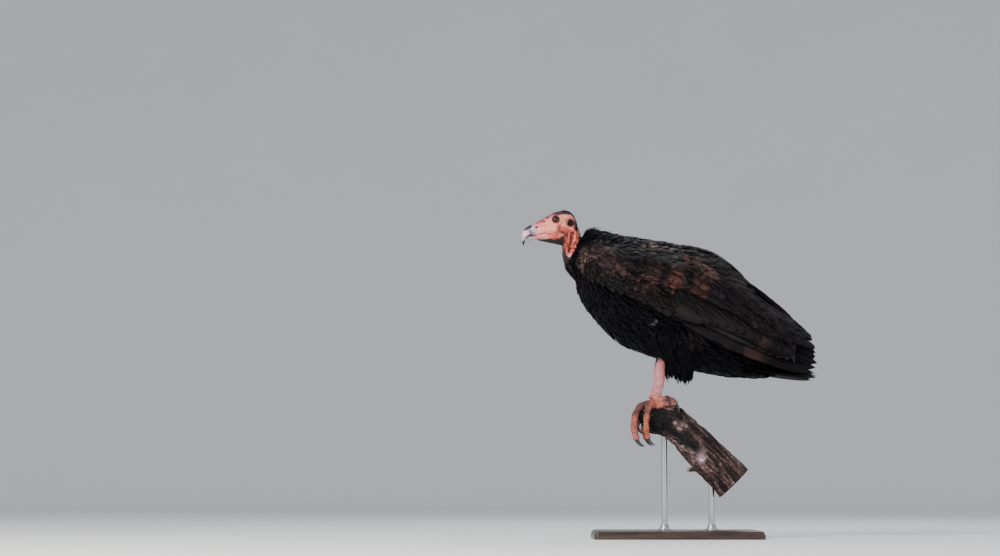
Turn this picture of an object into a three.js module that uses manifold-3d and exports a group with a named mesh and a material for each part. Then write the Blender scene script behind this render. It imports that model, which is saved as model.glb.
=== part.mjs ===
// A red-headed vulture, life size, gripping the broken end of a cut branch that a display stand holds.
// Millimetres, +Z up. The bird faces -X, its left side is -Y, and the origin is the middle of the
// stand's underside. Each part of the body is a loft: rings carried along rails, then cut to its neighbours.
import * as THREE from "three";
import Module from "manifold-3d";

const wasm = await Module();
wasm.setup();

// ---------- driving dimensions ----------
const GAP = 0.3; // left between pieces that touch
const PERCH_TOP = 310; // height of the branch's flat broken top
const SIDES = { left: -1, right: 1 }; // the sign of Y on each side

const BASE = { length: 400, width: 260, height: 20, bevel: 3 };
const ROD = { radius: 7, sunk: 12, front: { x: -28, top: 262 }, rear: { x: 84, top: 140 } };

// Rails are [x, z] points. A form's top and bottom rails have the same number of points, and
// halfWidth has one value for each pair.
const TRUNK = {
  top: [[-205, 741], [-182, 736], [-130, 726], [-60, 714], [10, 701], [72, 668], [132, 600], [182, 524], [216, 462], [244, 416]],
  bottom: [[-254, 640], [-242, 621], [-232, 578], [-195, 522], [-137, 465], [-82, 441], [-18, 420], [52, 397], [132, 383], [210, 380]],
  halfWidth: [36, 52, 80, 99, 106, 103, 90, 68, 46, 30],
};

const NECK = {
  top: [[-225, 712], [-226, 700], [-226, 684], [-221, 666], [-206, 648]], // nape
  bottom: [[-271, 701], [-269, 688], [-268, 668], [-260, 642], [-240, 618]], // throat
  halfWidth: [23.5, 22.5, 22, 24, 30],
};

const HEAD = {
  top: [[-343, 751], [-326, 759.5], [-305, 771], [-284, 780.5], [-262, 784], [-246, 774.5], [-237.5, 757], [-233, 735], [-225.5, 712.6]],
  bottom: [[-331, 708.5], [-319, 709.5], [-303, 710], [-290, 710], [-280, 709.5], [-275, 707], [-272.5, 704.5], [-271.5, 703], [-271, 702]],
  halfWidth: [15, 18.5, 23, 27.5, 31, 32, 30.5, 27, 23.5],
};

const BILL_UPPER = {
  top: [[-339, 751.5], [-350, 748], [-359.5, 741.5], [-365.8, 732], [-368.4, 720], [-366.8, 708], [-363.6, 699.5]],
  bottom: [[-328, 721.5], [-341, 718.5], [-350.5, 715.5], [-354.5, 713.8], [-358, 709.5], [-360.6, 704], [-362, 699]],
  halfWidth: [13.6, 12.6, 10.8, 8.6, 6.2, 3.6, 1.2],
};

const BILL_LOWER = {
  top: [[-328, 721.5], [-340, 718], [-349, 715], [-354, 713]],
  bottom: [[-328, 709.5], [-340, 708.2], [-349, 708.6], [-354, 710]],
  halfWidth: [12, 10.4, 7.6, 3.2],
};

const EYE = { x: -285.8, y: 18.6, z: 761.7, radius: 9.2 };
const LAPPET = { x: -248, y: 24.5, z: 697, halfLength: 19, halfDepth: 8.5, halfHeight: 33, lean: 0.12 };

// The folded wing, from the wrist at the breast to the last secondary: its edges in side view, and how
// far out of the bird's middle plane its outer face stands at the top edge, at its fullest and at the low edge.
const WING = {
  upper: [[-226, 690], [-190, 710], [-120, 707], [-30, 699], [62, 685], [128, 651], [214, 570], [276, 521], [306, 496]],
  lower: [[-236, 652], [-208, 620], [-152, 588], [-72, 552], [30, 500], [120, 456], [206, 424], [268, 405], [300, 397]],
  yUpper: [44, 46, 46, 44, 38, 30, 20, 14, 11],
  yFull: [58, 90, 120, 132, 128, 112, 86, 66, 56],
  yLower: [54, 78, 106, 118, 116, 104, 84, 68, 60],
  thickness: [15, 28, 34, 32, 27, 21, 15, 11, 8],
  fullAt: 0.55,
  rowEdges: [0.3, 0.52, 0.78], // where one row of coverts ends on the next, from the upper edge down
  rowStep: 2.4,
};

// The tips of the long primaries, below and behind the rest of the folded wing.
const PRIMARIES = {
  upper: [[232, 546], [276, 512], [312, 486], [331, 468]],
  lower: [[214, 440], [262, 424], [306, 412], [341, 405]],
  yUpper: [9, 6, 5, 5],
  yLower: [62, 54, 46, 42],
  thickness: [7, 7, 6, 4],
  tips: 6,
  tipDepth: 17,
};

const TAIL = {
  rootX: 128, tipX: 342, rootZ: 418, tipZ: 378,
  rootHalfWidth: 26, tipHalfWidth: 74, thickness: 11, droop: 15, crown: 17,
  feathers: 12, tipDepth: 11, wedge: 20,
};

const THIGH = {
  front: [[-46, 538], [-66, 482], [-56, 440], [-46, 414], [-32, 384]],
  rear: [[16, 532], [50, 460], [44, 416], [35, 393], [14, 370]],
  y: [46, 62, 52, 45, 42],
  halfWidth: [22, 39, 32, 23, 11],
};

const HEEL = { x: -29, y: 43, z: 436 };
const FOOT = { x: -51, y: 29, z: 325 };
const SHANK = { heelRadius: 14, radius: 10.8, footRadius: 12.5, flatten: 0.78 };

// Toes leave the foot's hub, lie on the branch's top and curl over its broken end. Each row is a joint's
// place from the hub, with Y counted outwards from the bird's middle.
const TOES = {
  inner: { path: [[0, 0, 0], [-20, -12, -5], [-35, -17, -11], [-42, -19, -33], [-41, -18, -58]], radius: 6.6 },
  middle: { path: [[0, 0, 0], [-20, 0, -5], [-37, 1, -11], [-47, 2, -33], [-49, 2, -62], [-43, 1, -90]], radius: 7.2 },
  outer: { path: [[0, 0, 0], [-10, 13, -5], [-18, 23, -16], [-22, 26, -40], [-23, 26, -64], [-18, 22, -88]], radius: 6.8 },
  hind: { path: [[0, 0, -1], [14, 2, 3], [28, 3, 6], [41, 3, 1], [50, 3, -7]], radius: 7.8 },
};
const CLAW = { length: 28, rootRadius: 5, bend: 62, sunk: 3 };

// The branch runs down and back from a broad tongue, where it broke, to a round sawn end.
const PERCH = {
  top: [[-91, 301], [-74, 316], [-40, 322], [4, 316], [32, 291], [76, 255], [124, 208], [170, 163]],
  bottom: [[-88, 280], [-76, 262], [-60, 250], [-38, 247], [-12, 229], [22, 190], [64, 144], [104, 98]],
  halfWidth: [30, 40, 45, 46.5, 46, 46.5, 48.5, 50],
  ripple: 0.03, knot: 0.09,
};

// ---------- looks of the bare model ----------
const colour = (hex, roughness, metalness = 0) => new THREE.MeshStandardMaterial({ color: hex, roughness, metalness });
const LOOKS = {
  plumage: colour(0x1f1a1a, 0.72), coverts: colour(0x2b2220, 0.7), flight: colour(0x1a1718, 0.6),
  bareSkin: colour(0xc9583f, 0.55), legSkin: colour(0xd07565, 0.6), horn: colour(0x2d2a2c, 0.35), bill: colour(0x5c5054, 0.35),
  eye: colour(0x1a0f0a, 0.05), bark: colour(0x5a4b46, 0.9), base: colour(0x24201d, 0.5), rod: colour(0x8f9194, 0.3, 1),
};

// ---------- rails and lofts ----------
const curve = (points) => new THREE.CatmullRomCurve3(points, false, "catmullrom", 0.5);
const sideRail = (points) => curve(points.map(([x, z]) => new THREE.Vector3(x, 0, z)));
const spaceRail = (points) => curve(points.map(([x, y, z]) => new THREE.Vector3(x, y, z)));
const valueRail = (values) => {
  const rail = curve(values.map((v) => new THREE.Vector3(v, 0, 0)));
  return (t) => rail.getPoint(t).x;
};
const lerp = THREE.MathUtils.lerp;
const smoothstep = THREE.MathUtils.smoothstep;
const TURN = 2 * Math.PI;

// A closed manifold solid through rings of points, all with the same count. A round ring's ends close with a
// fan about its middle. A thin shell's ring runs out along one face and back along the other, so its ends
// close with a strip from face to face.
function solidThrough(rings, thin = false) {
  const around = rings[0].length;
  const points = rings.flat();
  const triangles = [];
  const at = (i, j) => i * around + (j % around);
  for (let i = 0; i + 1 < rings.length; i++)
    for (let j = 0; j < around; j++)
      triangles.push(at(i, j), at(i + 1, j), at(i + 1, j + 1), at(i, j), at(i + 1, j + 1), at(i, j + 1));
  const last = rings.length - 1;
  const opposite = (j) => around - 1 - j;
  if (thin) {
    for (let j = 0; j + 1 < around / 2; j++) {
      triangles.push(at(0, j), at(0, j + 1), at(0, opposite(j + 1)), at(0, j), at(0, opposite(j + 1)), at(0, opposite(j)));
      triangles.push(at(last, j + 1), at(last, j), at(last, opposite(j)),
        at(last, j + 1), at(last, opposite(j)), at(last, opposite(j + 1)));
    }
    return closedSolid(points, triangles);
  }
  const first = points.length;
  for (const ring of [rings[0], rings[last]])
    points.push(ring.reduce((sum, p) => sum.add(p), new THREE.Vector3()).divideScalar(around));
  for (let j = 0; j < around; j++)
    triangles.push(first, at(0, j), at(0, j + 1), first + 1, at(last, j + 1), at(last, j));
  return closedSolid(points, triangles);
}

// The triangles as a manifold solid with its faces out, whichever way round they were listed.
function closedSolid(points, triangles) {
  const make = (triVerts) => new wasm.Manifold(new wasm.Mesh({
    numProp: 3,
    vertProperties: new Float32Array(points.flatMap((p) => [p.x, p.y, p.z])),
    triVerts: new Uint32Array(triVerts),
  }));
  const made = make(triangles);
  return made.volume() > 0 ? made : make(triangles.toReversed());
}

// An oval ring: side and up are its half axes as vectors, and grow adds to both.
function ovalRing(centre, side, up, around, grow = 0, shape = () => 1) {
  const wide = side.clone().setLength(side.length() + grow);
  const high = up.clone().setLength(up.length() + grow);
  return Array.from({ length: around }, (_, j) => {
    const angle = (j / around) * TURN;
    const reach = shape(angle);
    return centre.clone()
      .addScaledVector(wide, Math.cos(angle) * reach)
      .addScaledVector(high, Math.sin(angle) * reach);
  });
}

// A form between a top and a bottom rail. ends shrinks the first and last rings, to round them off.
function ribbed({ top, bottom, halfWidth, y = null, rings, around, grow = 0, side = 1, shape }) {
  const high = sideRail(top);
  const low = sideRail(bottom);
  const width = valueRail(halfWidth);
  const offset = y ? valueRail(y) : () => 0;
  return solidThrough(Array.from({ length: rings }, (_, i) => {
    const t = i / (rings - 1);
    const a = high.getPoint(t);
    const b = low.getPoint(t);
    const centre = a.clone().add(b).multiplyScalar(0.5);
    centre.y = side * offset(t);
    const along = high.getTangent(t).add(low.getTangent(t)).normalize();
    const end = i === 0 ? -grow : i === rings - 1 ? grow : 0;
    centre.addScaledVector(along, end);
    const ringShape = shape ? (angle) => shape(angle, t) : undefined;
    return ovalRing(centre, new THREE.Vector3(0, width(t), 0), a.sub(b).multiplyScalar(0.5), around, grow, ringShape);
  }));
}

// A round form along a path: radiusAt gives its half height, widthAt its half width, shape its outline.
function limb({ path, radiusAt, widthAt = radiusAt, rings, around, grow = 0, shape }) {
  const rail = spaceRail(path);
  const reference = new THREE.Vector3(0, 1, 0);
  return solidThrough(Array.from({ length: rings }, (_, i) => {
    const t = i / (rings - 1);
    const tangent = rail.getTangent(t);
    const side = reference.clone().addScaledVector(tangent, -reference.dot(tangent)).normalize();
    const up = tangent.clone().cross(side).normalize();
    const centre = rail.getPoint(t);
    if (i === 0) centre.addScaledVector(tangent, -grow);
    if (i === rings - 1) centre.addScaledVector(tangent, grow);
    const ringShape = shape ? (angle) => shape(angle, t) : undefined;
    return ovalRing(centre, side.multiplyScalar(widthAt(t)), up.multiplyScalar(radiusAt(t)), around, grow, ringShape);
  }));
}

const mirrored = (path, side) => path.map(([x, y, z]) => [x, side * y, z]);
const union = (solids) => solids.reduce((a, b) => a.add(b));

// ---------- head ----------
// The cheeks are fullest below the eye, and the brow overhangs it.
function headSolid(grow = 0) {
  const brow = (angle, t) => {
    const eyeLevel = Math.sin(angle);
    const socket = Math.exp(-(((t - 0.42) / 0.1) ** 2) - ((eyeLevel - 0.45) / 0.3) ** 2);
    const jaw = eyeLevel < -0.3 ? 0.05 * Math.sin(Math.PI * Math.min(1, t / 0.6)) : 0;
    return 1 - 0.08 * socket + jaw;
  };
  return ribbed({ ...HEAD, rings: 14, around: 16, grow, shape: brow });
}

const neckSolid = (grow = 0) => ribbed({ ...NECK, rings: 7, around: 14, grow });
const billUpperSolid = (grow = 0) => ribbed({ ...BILL_UPPER, rings: 10, around: 10, grow });
const billLowerSolid = (grow = 0) => ribbed({ ...BILL_LOWER, rings: 5, around: 8, grow });

function ballSolid({ x, y, z, radius }, grow = 0) {
  const [rings, around] = [5, 10];
  return solidThrough(Array.from({ length: rings }, (_, i) => {
    const angle = ((i + 0.5) / rings) * Math.PI;
    const r = (radius + grow) * Math.sin(angle);
    return ovalRing(new THREE.Vector3(x, y - (radius + grow) * Math.cos(angle), z),
      new THREE.Vector3(r, 0, 0), new THREE.Vector3(0, 0, r), around);
  }));
}
const eyeSolid = (side, grow = 0) => ballSolid({ ...EYE, y: side * EYE.y }, grow);

// A fold of loose skin that hangs from behind the ear down the side of the neck, lobed at its front edge.
function lappetSolid(side, grow = 0) {
  const { x, y, z, halfLength, halfDepth, halfHeight, lean } = LAPPET;
  const rings = 7;
  return solidThrough(Array.from({ length: rings }, (_, i) => {
    const level = 1 - (2 * (i + 0.5)) / rings; // 1 at the top, -1 at the bottom
    const taper = Math.sqrt(1 - level * level);
    const droop = 1 + 0.18 * (1 - level) * 0.5;
    const centre = new THREE.Vector3(x + lean * halfLength * level, side * y, z + level * (halfHeight + grow));
    const lobes = (angle) => 1 + 0.07 * Math.cos(5 * angle + 1.5 * level);
    return ovalRing(centre, new THREE.Vector3(halfLength * taper * droop, 0, 0),
      new THREE.Vector3(0, halfDepth * taper, 0), 10, grow, lobes);
  }));
}

// ---------- trunk, wings and tail ----------
const trunkSolid = (grow = 0) => ribbed({ ...TRUNK, rings: 15, around: 20, grow });

// A shell seen in side view between an upper and a lower edge: outerY and thickness give its two faces,
// and slide moves the end of the shell along it, for the tips of its feathers.
function shell({ upper, lower, outerY, thickness, rings, across, side, grow, slide = () => 0 }) {
  const high = sideRail(upper);
  const low = sideRail(lower);
  return solidThrough(Array.from({ length: rings }, (_, i) => {
    const t = i / (rings - 1);
    const [a, b] = [high.getPoint(t), low.getPoint(t)];
    const along = high.getTangent(t).add(low.getTangent(t)).normalize();
    const down = b.clone().sub(a).normalize();
    const end = i === 0 ? -grow : i === rings - 1 ? grow : 0;
    const face = (v, inner) => {
      const depth = inner ? thickness(t) * (0.25 + 0.75 * Math.sin(Math.PI * v) ** 0.6) + grow : -grow;
      const p = a.clone().lerp(b, v)
        .addScaledVector(along, end + slide(t, v))
        .addScaledVector(down, v < 0.01 ? -grow : v > 0.99 ? grow : 0);
      p.y = side * (outerY(t, v) - depth);
      return p;
    };
    const steps = Array.from({ length: across + 1 }, (_, j) => j / across);
    return [...steps.map((v) => face(v, false)), ...steps.toReversed().map((v) => face(v, true))];
  }), true);
}

function wingSolid(side, grow = 0) {
  const [yUpper, yFull, yLower] = [WING.yUpper, WING.yFull, WING.yLower].map(valueRail);
  const rowsAbove = (v) => WING.rowEdges.filter((edge) => v < edge).length; // upper rows lie on lower ones
  const outerY = (t, v) => {
    const full = v < WING.fullAt
      ? lerp(yUpper(t), yFull(t), Math.sin((v / WING.fullAt) * Math.PI / 2))
      : lerp(yFull(t), yLower(t), ((v - WING.fullAt) / (1 - WING.fullAt)) ** 2);
    const rows = smoothstep(t, 0, 0.15) * (1 - smoothstep(t, 0.75, 1));
    return full + WING.rowStep * (rowsAbove(v) - 1.5) * rows * Math.min(1, 6 * v);
  };
  return shell({ ...WING, outerY, thickness: valueRail(WING.thickness), rings: 12, across: 8, side, grow });
}

// The ragged end of a folded wing: each primary's tip stands out a little from its neighbour's.
function primariesSolid(side, grow = 0) {
  const [yUpper, yLower, thickness] = [PRIMARIES.yUpper, PRIMARIES.yLower, PRIMARIES.thickness].map(valueRail);
  const slide = (t, v) => -PRIMARIES.tipDepth * t ** 4 * (1 - Math.abs(Math.sin(v * PRIMARIES.tips * Math.PI)));
  const outerY = (t, v) => lerp(yUpper(t), yLower(t), Math.sin(v * Math.PI / 2));
  return shell({ ...PRIMARIES, outerY, thickness, rings: 5, across: 2 * PRIMARIES.tips, side, grow, slide });
}

// A shallow fan, drooping at its sides, whose end is the round tips of its feathers.
function tailSolid(grow = 0) {
  const across = 2 * TAIL.feathers;
  const rings = 4;
  return solidThrough(Array.from({ length: rings }, (_, i) => {
    const t = i / (rings - 1);
    const end = i === 0 ? -grow : i === rings - 1 ? grow : 0;
    const face = (v, lower) => {
      const off = 2 * v - 1; // -1 at the left edge of the fan, 1 at the right
      const notch = TAIL.tipDepth * (1 - Math.abs(Math.sin(v * TAIL.feathers * Math.PI)));
      const tip = TAIL.tipX - TAIL.wedge * off * off - notch;
      const edge = 0.35 + 0.65 * Math.sqrt(1 - 0.98 * off * off);
      const half = (TAIL.thickness / 2) * lerp(1, 0.55, t) * edge + grow;
      const middle = lerp(TAIL.rootZ, TAIL.tipZ, t) + (TAIL.crown - TAIL.droop * off * off) * t;
      return new THREE.Vector3(lerp(TAIL.rootX, tip, t) + end,
        off * (lerp(TAIL.rootHalfWidth, TAIL.tipHalfWidth, t) + grow), middle + (lower ? -half : half));
    };
    const steps = Array.from({ length: across + 1 }, (_, j) => j / across);
    return [...steps.map((v) => face(v, false)), ...steps.toReversed().map((v) => face(v, true))];
  }), true);
}

// ---------- legs ----------
const thighSolid = (side, grow = 0) => ribbed({
  top: THIGH.rear, bottom: THIGH.front, halfWidth: THIGH.halfWidth, y: THIGH.y, rings: 8, around: 12, grow, side,
});

function shankSolid(side, grow = 0) {
  const path = [[HEEL.x, HEEL.y, HEEL.z], [HEEL.x - 9, HEEL.y - 3, HEEL.z - 28],
    [FOOT.x + 11, FOOT.y + 5, FOOT.z + 46], [FOOT.x, FOOT.y, FOOT.z + 7]];
  const radiusAt = (t) => SHANK.radius + (SHANK.heelRadius - SHANK.radius) * Math.exp(-((t / 0.12) ** 2))
    + (SHANK.footRadius - SHANK.radius) * Math.exp(-(((t - 1) / 0.16) ** 2));
  const widthAt = (t) => SHANK.flatten * radiusAt(t);
  return limb({ path: mirrored(path, side), radiusAt, widthAt, rings: 8, around: 10, grow });
}

// A toe swells at each joint and at its ball.
function toeSolid(toe, side, grow = 0) {
  const { path, radius } = TOES[toe];
  const joints = path.length - 1;
  const placed = path.map(([x, y, z]) => [FOOT.x + x, side * (FOOT.y + y), FOOT.z + z]);
  const radiusAt = (t) => radius * (1.06 - 0.2 * t) * (0.93 + 0.09 * Math.cos(TURN * t * joints));
  return limb({ path: placed, radiusAt, rings: Math.round(1.6 * joints) + 1, around: 6, grow });
}

function footSolid(side, grow = 0) {
  const hub = ballSolid({ x: FOOT.x, y: side * FOOT.y, z: FOOT.z + 1, radius: 12 }, grow);
  return union([hub, ...Object.keys(TOES).map((toe) => toeSolid(toe, side, grow))]);
}

// A claw goes on from its toe's end and bends down and back under it.
function clawSolid(toe, side, grow = 0) {
  const { path } = TOES[toe];
  const placed = path.map(([x, y, z]) => new THREE.Vector3(FOOT.x + x, side * (FOOT.y + y), FOOT.z + z));
  const rail = curve(placed);
  const [tip, heading] = [rail.getPoint(1), rail.getTangent(1)];
  const bendAxis = new THREE.Vector3(0, 1, 0).multiplyScalar(toe === "hind" ? 1 : -1);
  const steps = 4;
  const at = tip.clone().addScaledVector(heading, -CLAW.sunk);
  const points = [at.clone()];
  for (let i = 0; i < steps; i++) {
    const turn = THREE.MathUtils.degToRad(CLAW.bend) * (i / steps);
    at.addScaledVector(heading.clone().applyAxisAngle(bendAxis, turn), CLAW.length / steps);
    points.push(at.clone());
  }
  const radiusAt = (t) => CLAW.rootRadius * (1 - t) ** 0.7 + 0.5;
  const widthAt = (t) => 0.75 * radiusAt(t);
  return limb({ path: points.map((p) => p.toArray()), radiusAt, widthAt, rings: steps + 1, around: 6, grow });
}

// ---------- perch and stand ----------
// The branch's bark ripples along it, it swells at one knot, and its broken end is flat on top.
function perchSolid() {
  const bark = (angle, t) => {
    const ripple = PERCH.ripple * (Math.sin(7 * angle + 4 * t) + 0.6 * Math.sin(11 * angle - 9 * t));
    const knot = PERCH.knot * Math.exp(-(((t - 0.74) / 0.09) ** 2)) * Math.max(0, Math.cos(angle - 0.6)) ** 2;
    return 1 + ripple + knot;
  };
  const branch = ribbed({ ...PERCH, rings: 11, around: 16, shape: bark });
  const broken = new THREE.BoxGeometry(160, 160, 100).translate(-40, 0, PERCH_TOP + 50);
  return branch.subtract(fromGeometry(broken));
}

// A three.js geometry as a manifold solid, with the corners that its faces share merged.
function fromGeometry(geometry) {
  const position = geometry.getAttribute("position");
  const found = new Map();
  const points = [];
  const cornerOf = (i) => {
    const p = new THREE.Vector3().fromBufferAttribute(position, i);
    const key = p.toArray().map((n) => n.toFixed(3)).join();
    if (!found.has(key)) found.set(key, points.push(p) - 1);
    return found.get(key);
  };
  const corners = geometry.index ? Array.from(geometry.index.array) : [...Array(position.count).keys()];
  const faces = corners.map(cornerOf);
  const kept = [];
  for (let i = 0; i < faces.length; i += 3)
    if (new Set(faces.slice(i, i + 3)).size === 3) kept.push(...faces.slice(i, i + 3));
  return closedSolid(points, kept);
}

function rodSolid({ x, top }, grow = 0) {
  const bottom = BASE.height - ROD.sunk - grow;
  const height = top + grow - bottom;
  const rod = new THREE.CylinderGeometry(ROD.radius + grow, ROD.radius + grow, height, 16);
  return fromGeometry(rod.rotateX(Math.PI / 2).translate(x, 0, bottom + height / 2));
}

function baseSolid() {
  const { length, width, height, bevel } = BASE;
  const [halfLength, halfWidth] = [length / 2 - bevel, width / 2 - bevel];
  const outline = new THREE.Shape([[-1, -1], [1, -1], [1, 1], [-1, 1]]
    .map(([x, y]) => new THREE.Vector2(x * halfLength, y * halfWidth)));
  const slab = new THREE.ExtrudeGeometry(outline, {
    depth: height - 2 * bevel, bevelThickness: bevel, bevelSize: bevel, bevelSegments: 1,
  });
  return fromGeometry(slab.translate(0, 0, bevel));
}

// ---------- cutting each piece to its neighbours ----------
const cut = (solid, tools) => tools.reduce((left, tool) => left.subtract(tool), solid);
const largest = (solid) => solid.decompose().reduce((a, b) => (a.volume() > b.volume() ? a : b));

const group = new THREE.Group();
function place(name, solid, look) {
  const mesh = solid.getMesh();
  const geometry = new THREE.BufferGeometry();
  geometry.setAttribute("position", new THREE.BufferAttribute(new Float32Array(mesh.vertProperties), 3));
  geometry.setIndex(new THREE.BufferAttribute(new Uint32Array(mesh.triVerts), 1));
  geometry.computeVertexNormals();
  const node = new THREE.Mesh(geometry, LOOKS[look]);
  node.name = name;
  group.add(node);
}

const both = (make, grow) => Object.values(SIDES).map((side) => make(side, grow));
const rods = [ROD.front, ROD.rear];

place("bill_upper", billUpperSolid(), "bill");
place("bill_lower", largest(cut(billLowerSolid(), [billUpperSolid(GAP)])), "bill");
place("head", largest(cut(headSolid(), [billUpperSolid(GAP), billLowerSolid(GAP), ...both(eyeSolid, GAP)])), "bareSkin");
place("neck", largest(cut(neckSolid(), [headSolid(GAP)])), "bareSkin");
place("trunk", largest(cut(trunkSolid(), [neckSolid(GAP), ...both(lappetSolid, GAP), ...both(thighSolid, GAP),
  ...both(shankSolid, GAP)])), "plumage");
place("tail", largest(cut(tailSolid(), [trunkSolid(GAP)])), "flight");

for (const [word, side] of Object.entries(SIDES)) {
  place(`eye_${word}`, eyeSolid(side), "eye");
  place(`lappet_${word}`, largest(cut(lappetSolid(side), [neckSolid(GAP), headSolid(GAP)])), "bareSkin");
  place(`wing_${word}`, largest(cut(wingSolid(side), [trunkSolid(GAP), tailSolid(GAP), thighSolid(side, GAP),
    lappetSolid(side, GAP)])), "coverts");
  place(`primaries_${word}`, largest(cut(primariesSolid(side), [wingSolid(side, GAP), trunkSolid(GAP), tailSolid(GAP)])), "flight");
  place(`thigh_${word}`, largest(cut(thighSolid(side), [shankSolid(side, GAP)])), "plumage");
  place(`shank_${word}`, largest(cut(shankSolid(side), [footSolid(side, GAP)])), "legSkin");
  const claws = Object.keys(TOES).map((toe) => clawSolid(toe, side, GAP));
  place(`foot_${word}`, largest(cut(footSolid(side), claws)), "legSkin");
  for (const toe of Object.keys(TOES)) place(`claw_${toe}_${word}`, clawSolid(toe, side), "horn");
}

const grips = Object.values(SIDES).flatMap((side) => [footSolid(side, GAP), clawSolid("hind", side, GAP)]);
place("perch", largest(cut(perchSolid(), [...grips, ...rods.map((rod) => rodSolid(rod, GAP))])), "bark");
place("stand_base", cut(baseSolid(), rods.map((rod) => rodSolid(rod, GAP))), "base");
place("stand_rod_front", rodSolid(ROD.front), "rod");
place("stand_rod_rear", rodSolid(ROD.rear), "rod");

export default group;
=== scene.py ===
"""A life-size red-headed vulture gripping the broken end of a branch, on a plain display stand.

Sizes are in millimetres and meshes in metres, +Z up. The bird faces -X and its left side is -Y. One skin
covers head, neck, body and legs; vanes of solid mesh lie over it in the tracts that the feathers grow in.
"""
import logging
import math
from dataclasses import dataclass, field, replace
from enum import Enum
from typing import Callable, Sequence

import bpy
import numpy as np
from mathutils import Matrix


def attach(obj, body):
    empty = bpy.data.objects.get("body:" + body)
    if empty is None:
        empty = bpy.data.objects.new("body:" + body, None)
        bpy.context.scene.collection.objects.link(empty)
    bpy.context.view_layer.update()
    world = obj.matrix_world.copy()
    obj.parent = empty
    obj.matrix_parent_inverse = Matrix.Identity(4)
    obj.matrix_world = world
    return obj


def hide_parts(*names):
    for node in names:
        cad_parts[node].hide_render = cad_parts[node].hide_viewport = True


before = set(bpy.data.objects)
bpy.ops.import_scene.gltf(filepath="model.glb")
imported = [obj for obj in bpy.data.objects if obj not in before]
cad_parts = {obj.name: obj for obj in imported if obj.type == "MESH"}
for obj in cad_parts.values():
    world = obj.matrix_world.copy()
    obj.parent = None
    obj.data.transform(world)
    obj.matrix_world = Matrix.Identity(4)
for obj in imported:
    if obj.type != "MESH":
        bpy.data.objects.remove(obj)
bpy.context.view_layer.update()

LOG = logging.getLogger("vulture")
MM = 0.001
SIDES = {"left": -1, "right": 1}
Array = np.ndarray
Colour = tuple[float, float, float]
Points = Sequence[Sequence[float]]
Object = bpy.types.Object
Material = bpy.types.Material
Socket = bpy.types.NodeSocket
PATCH = 0.003  # how large one vane is on the skin's unwrap


# ---------- curves, noise and small sums ----------
def unit(vectors: Array) -> Array:
    """Vectors scaled to length 1."""
    return vectors / np.maximum(np.linalg.norm(vectors, axis=-1, keepdims=True), 1e-12)


def ease(x: Array, low: float, high: float) -> Array:
    """A smooth step from 0 at low to 1 at high."""
    t = np.clip((np.asarray(x, float) - low) / (high - low), 0, 1)
    return t * t * (3 - 2 * t)


def bell(x: Array) -> Array:
    """A bell that is 1 at 0 and dies away past 1: e to the minus x squared."""
    return np.exp(-np.asarray(x, float) ** 2)


def rail(points: Points, t: Array) -> Array:
    """A smooth curve through points: cubic pieces whose slopes join each point's neighbours.

    Args:
        points: n points of any dimension, or n plain numbers.
        t: places along it, 0 at the first point and 1 at the last; past them the curve runs on straight.

    Returns:
        The points at t, or numbers where the rail is one of numbers.
    """
    p = np.asarray(points, float)
    flat = p.ndim == 1
    p = p[:, None] if flat else p
    spans = len(p) - 1
    padded = np.vstack([2 * p[0] - p[1], p, 2 * p[-1] - p[-2]])
    t = np.asarray(t, float)
    place = np.clip(t, 0, 1) * spans
    i = np.minimum(place.astype(int), spans - 1)
    w = (place - i)[..., None]
    a, b, c, d = (padded[i + k] for k in range(4))
    from_b, into_c = (c - a) / 2, (d - b) / 2
    out = ((2 * w - 3) * w * w + 1) * b + (w - 2) * w * w * from_b + w * from_b
    out = out + (3 - 2 * w) * w * w * c + (w - 1) * w * w * into_c
    over = ((t - np.clip(t, 0, 1)) * spans)[..., None]
    out = out + over * np.where(over < 0, (padded[2] - padded[0]) / 2, (padded[-1] - padded[-3]) / 2)
    return out[..., 0] if flat else out


def noise(points: Array, size: float, seed: int = 0) -> Array:
    """Smooth noise in -1..1: random numbers on a lattice of the given size, blended between its corners."""
    place = np.asarray(points, float) / size
    cell = np.floor(place).astype(np.int64)
    part = place - cell
    part = part * part * (3 - 2 * part)
    total = np.zeros(place.shape[:-1])
    for corner in np.ndindex(2, 2, 2):
        c = cell + corner
        h = (c[..., 0] * 73856093 ^ c[..., 1] * 19349663 ^ c[..., 2] * 83492791 ^ seed * 982451653) & 0xFFFFFFFF
        h = ((h ^ (h >> 13)) * 1274126177) & 0xFFFFFFFF
        value = ((h ^ (h >> 16)) & 0xFFFF) / 32767.5 - 1
        total += value * np.prod(np.where(np.array(corner) == 1, part, 1 - part), axis=-1)
    return total


def cloud(points: Array, size: float, seed: int = 0, octaves: int = 4) -> Array:
    """Noise at several sizes, each half as large and half as strong as the last."""
    return sum(noise(points, size / 2**k, seed + k) / 2**k for k in range(octaves))


def turns(count: int) -> Array:
    """Angles in even steps once round, from 0."""
    return np.arange(count) * math.tau / count


def grid(along: Array, around: int) -> tuple[Array, Array]:
    """The place along and the angle round for each point of a form: rows run along it and columns round it."""
    return tuple(np.meshgrid(along, turns(around), indexing="ij"))


def layered(colour: Array, *layers: tuple[Colour | Array, Array]) -> Array:
    """The colours with each layer, a colour and its share at every point, laid over them in turn."""
    for other, share in layers:
        colour = colour + (np.asarray(other) - colour) * np.clip(share, 0, 1)[:, None]
    return colour


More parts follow.
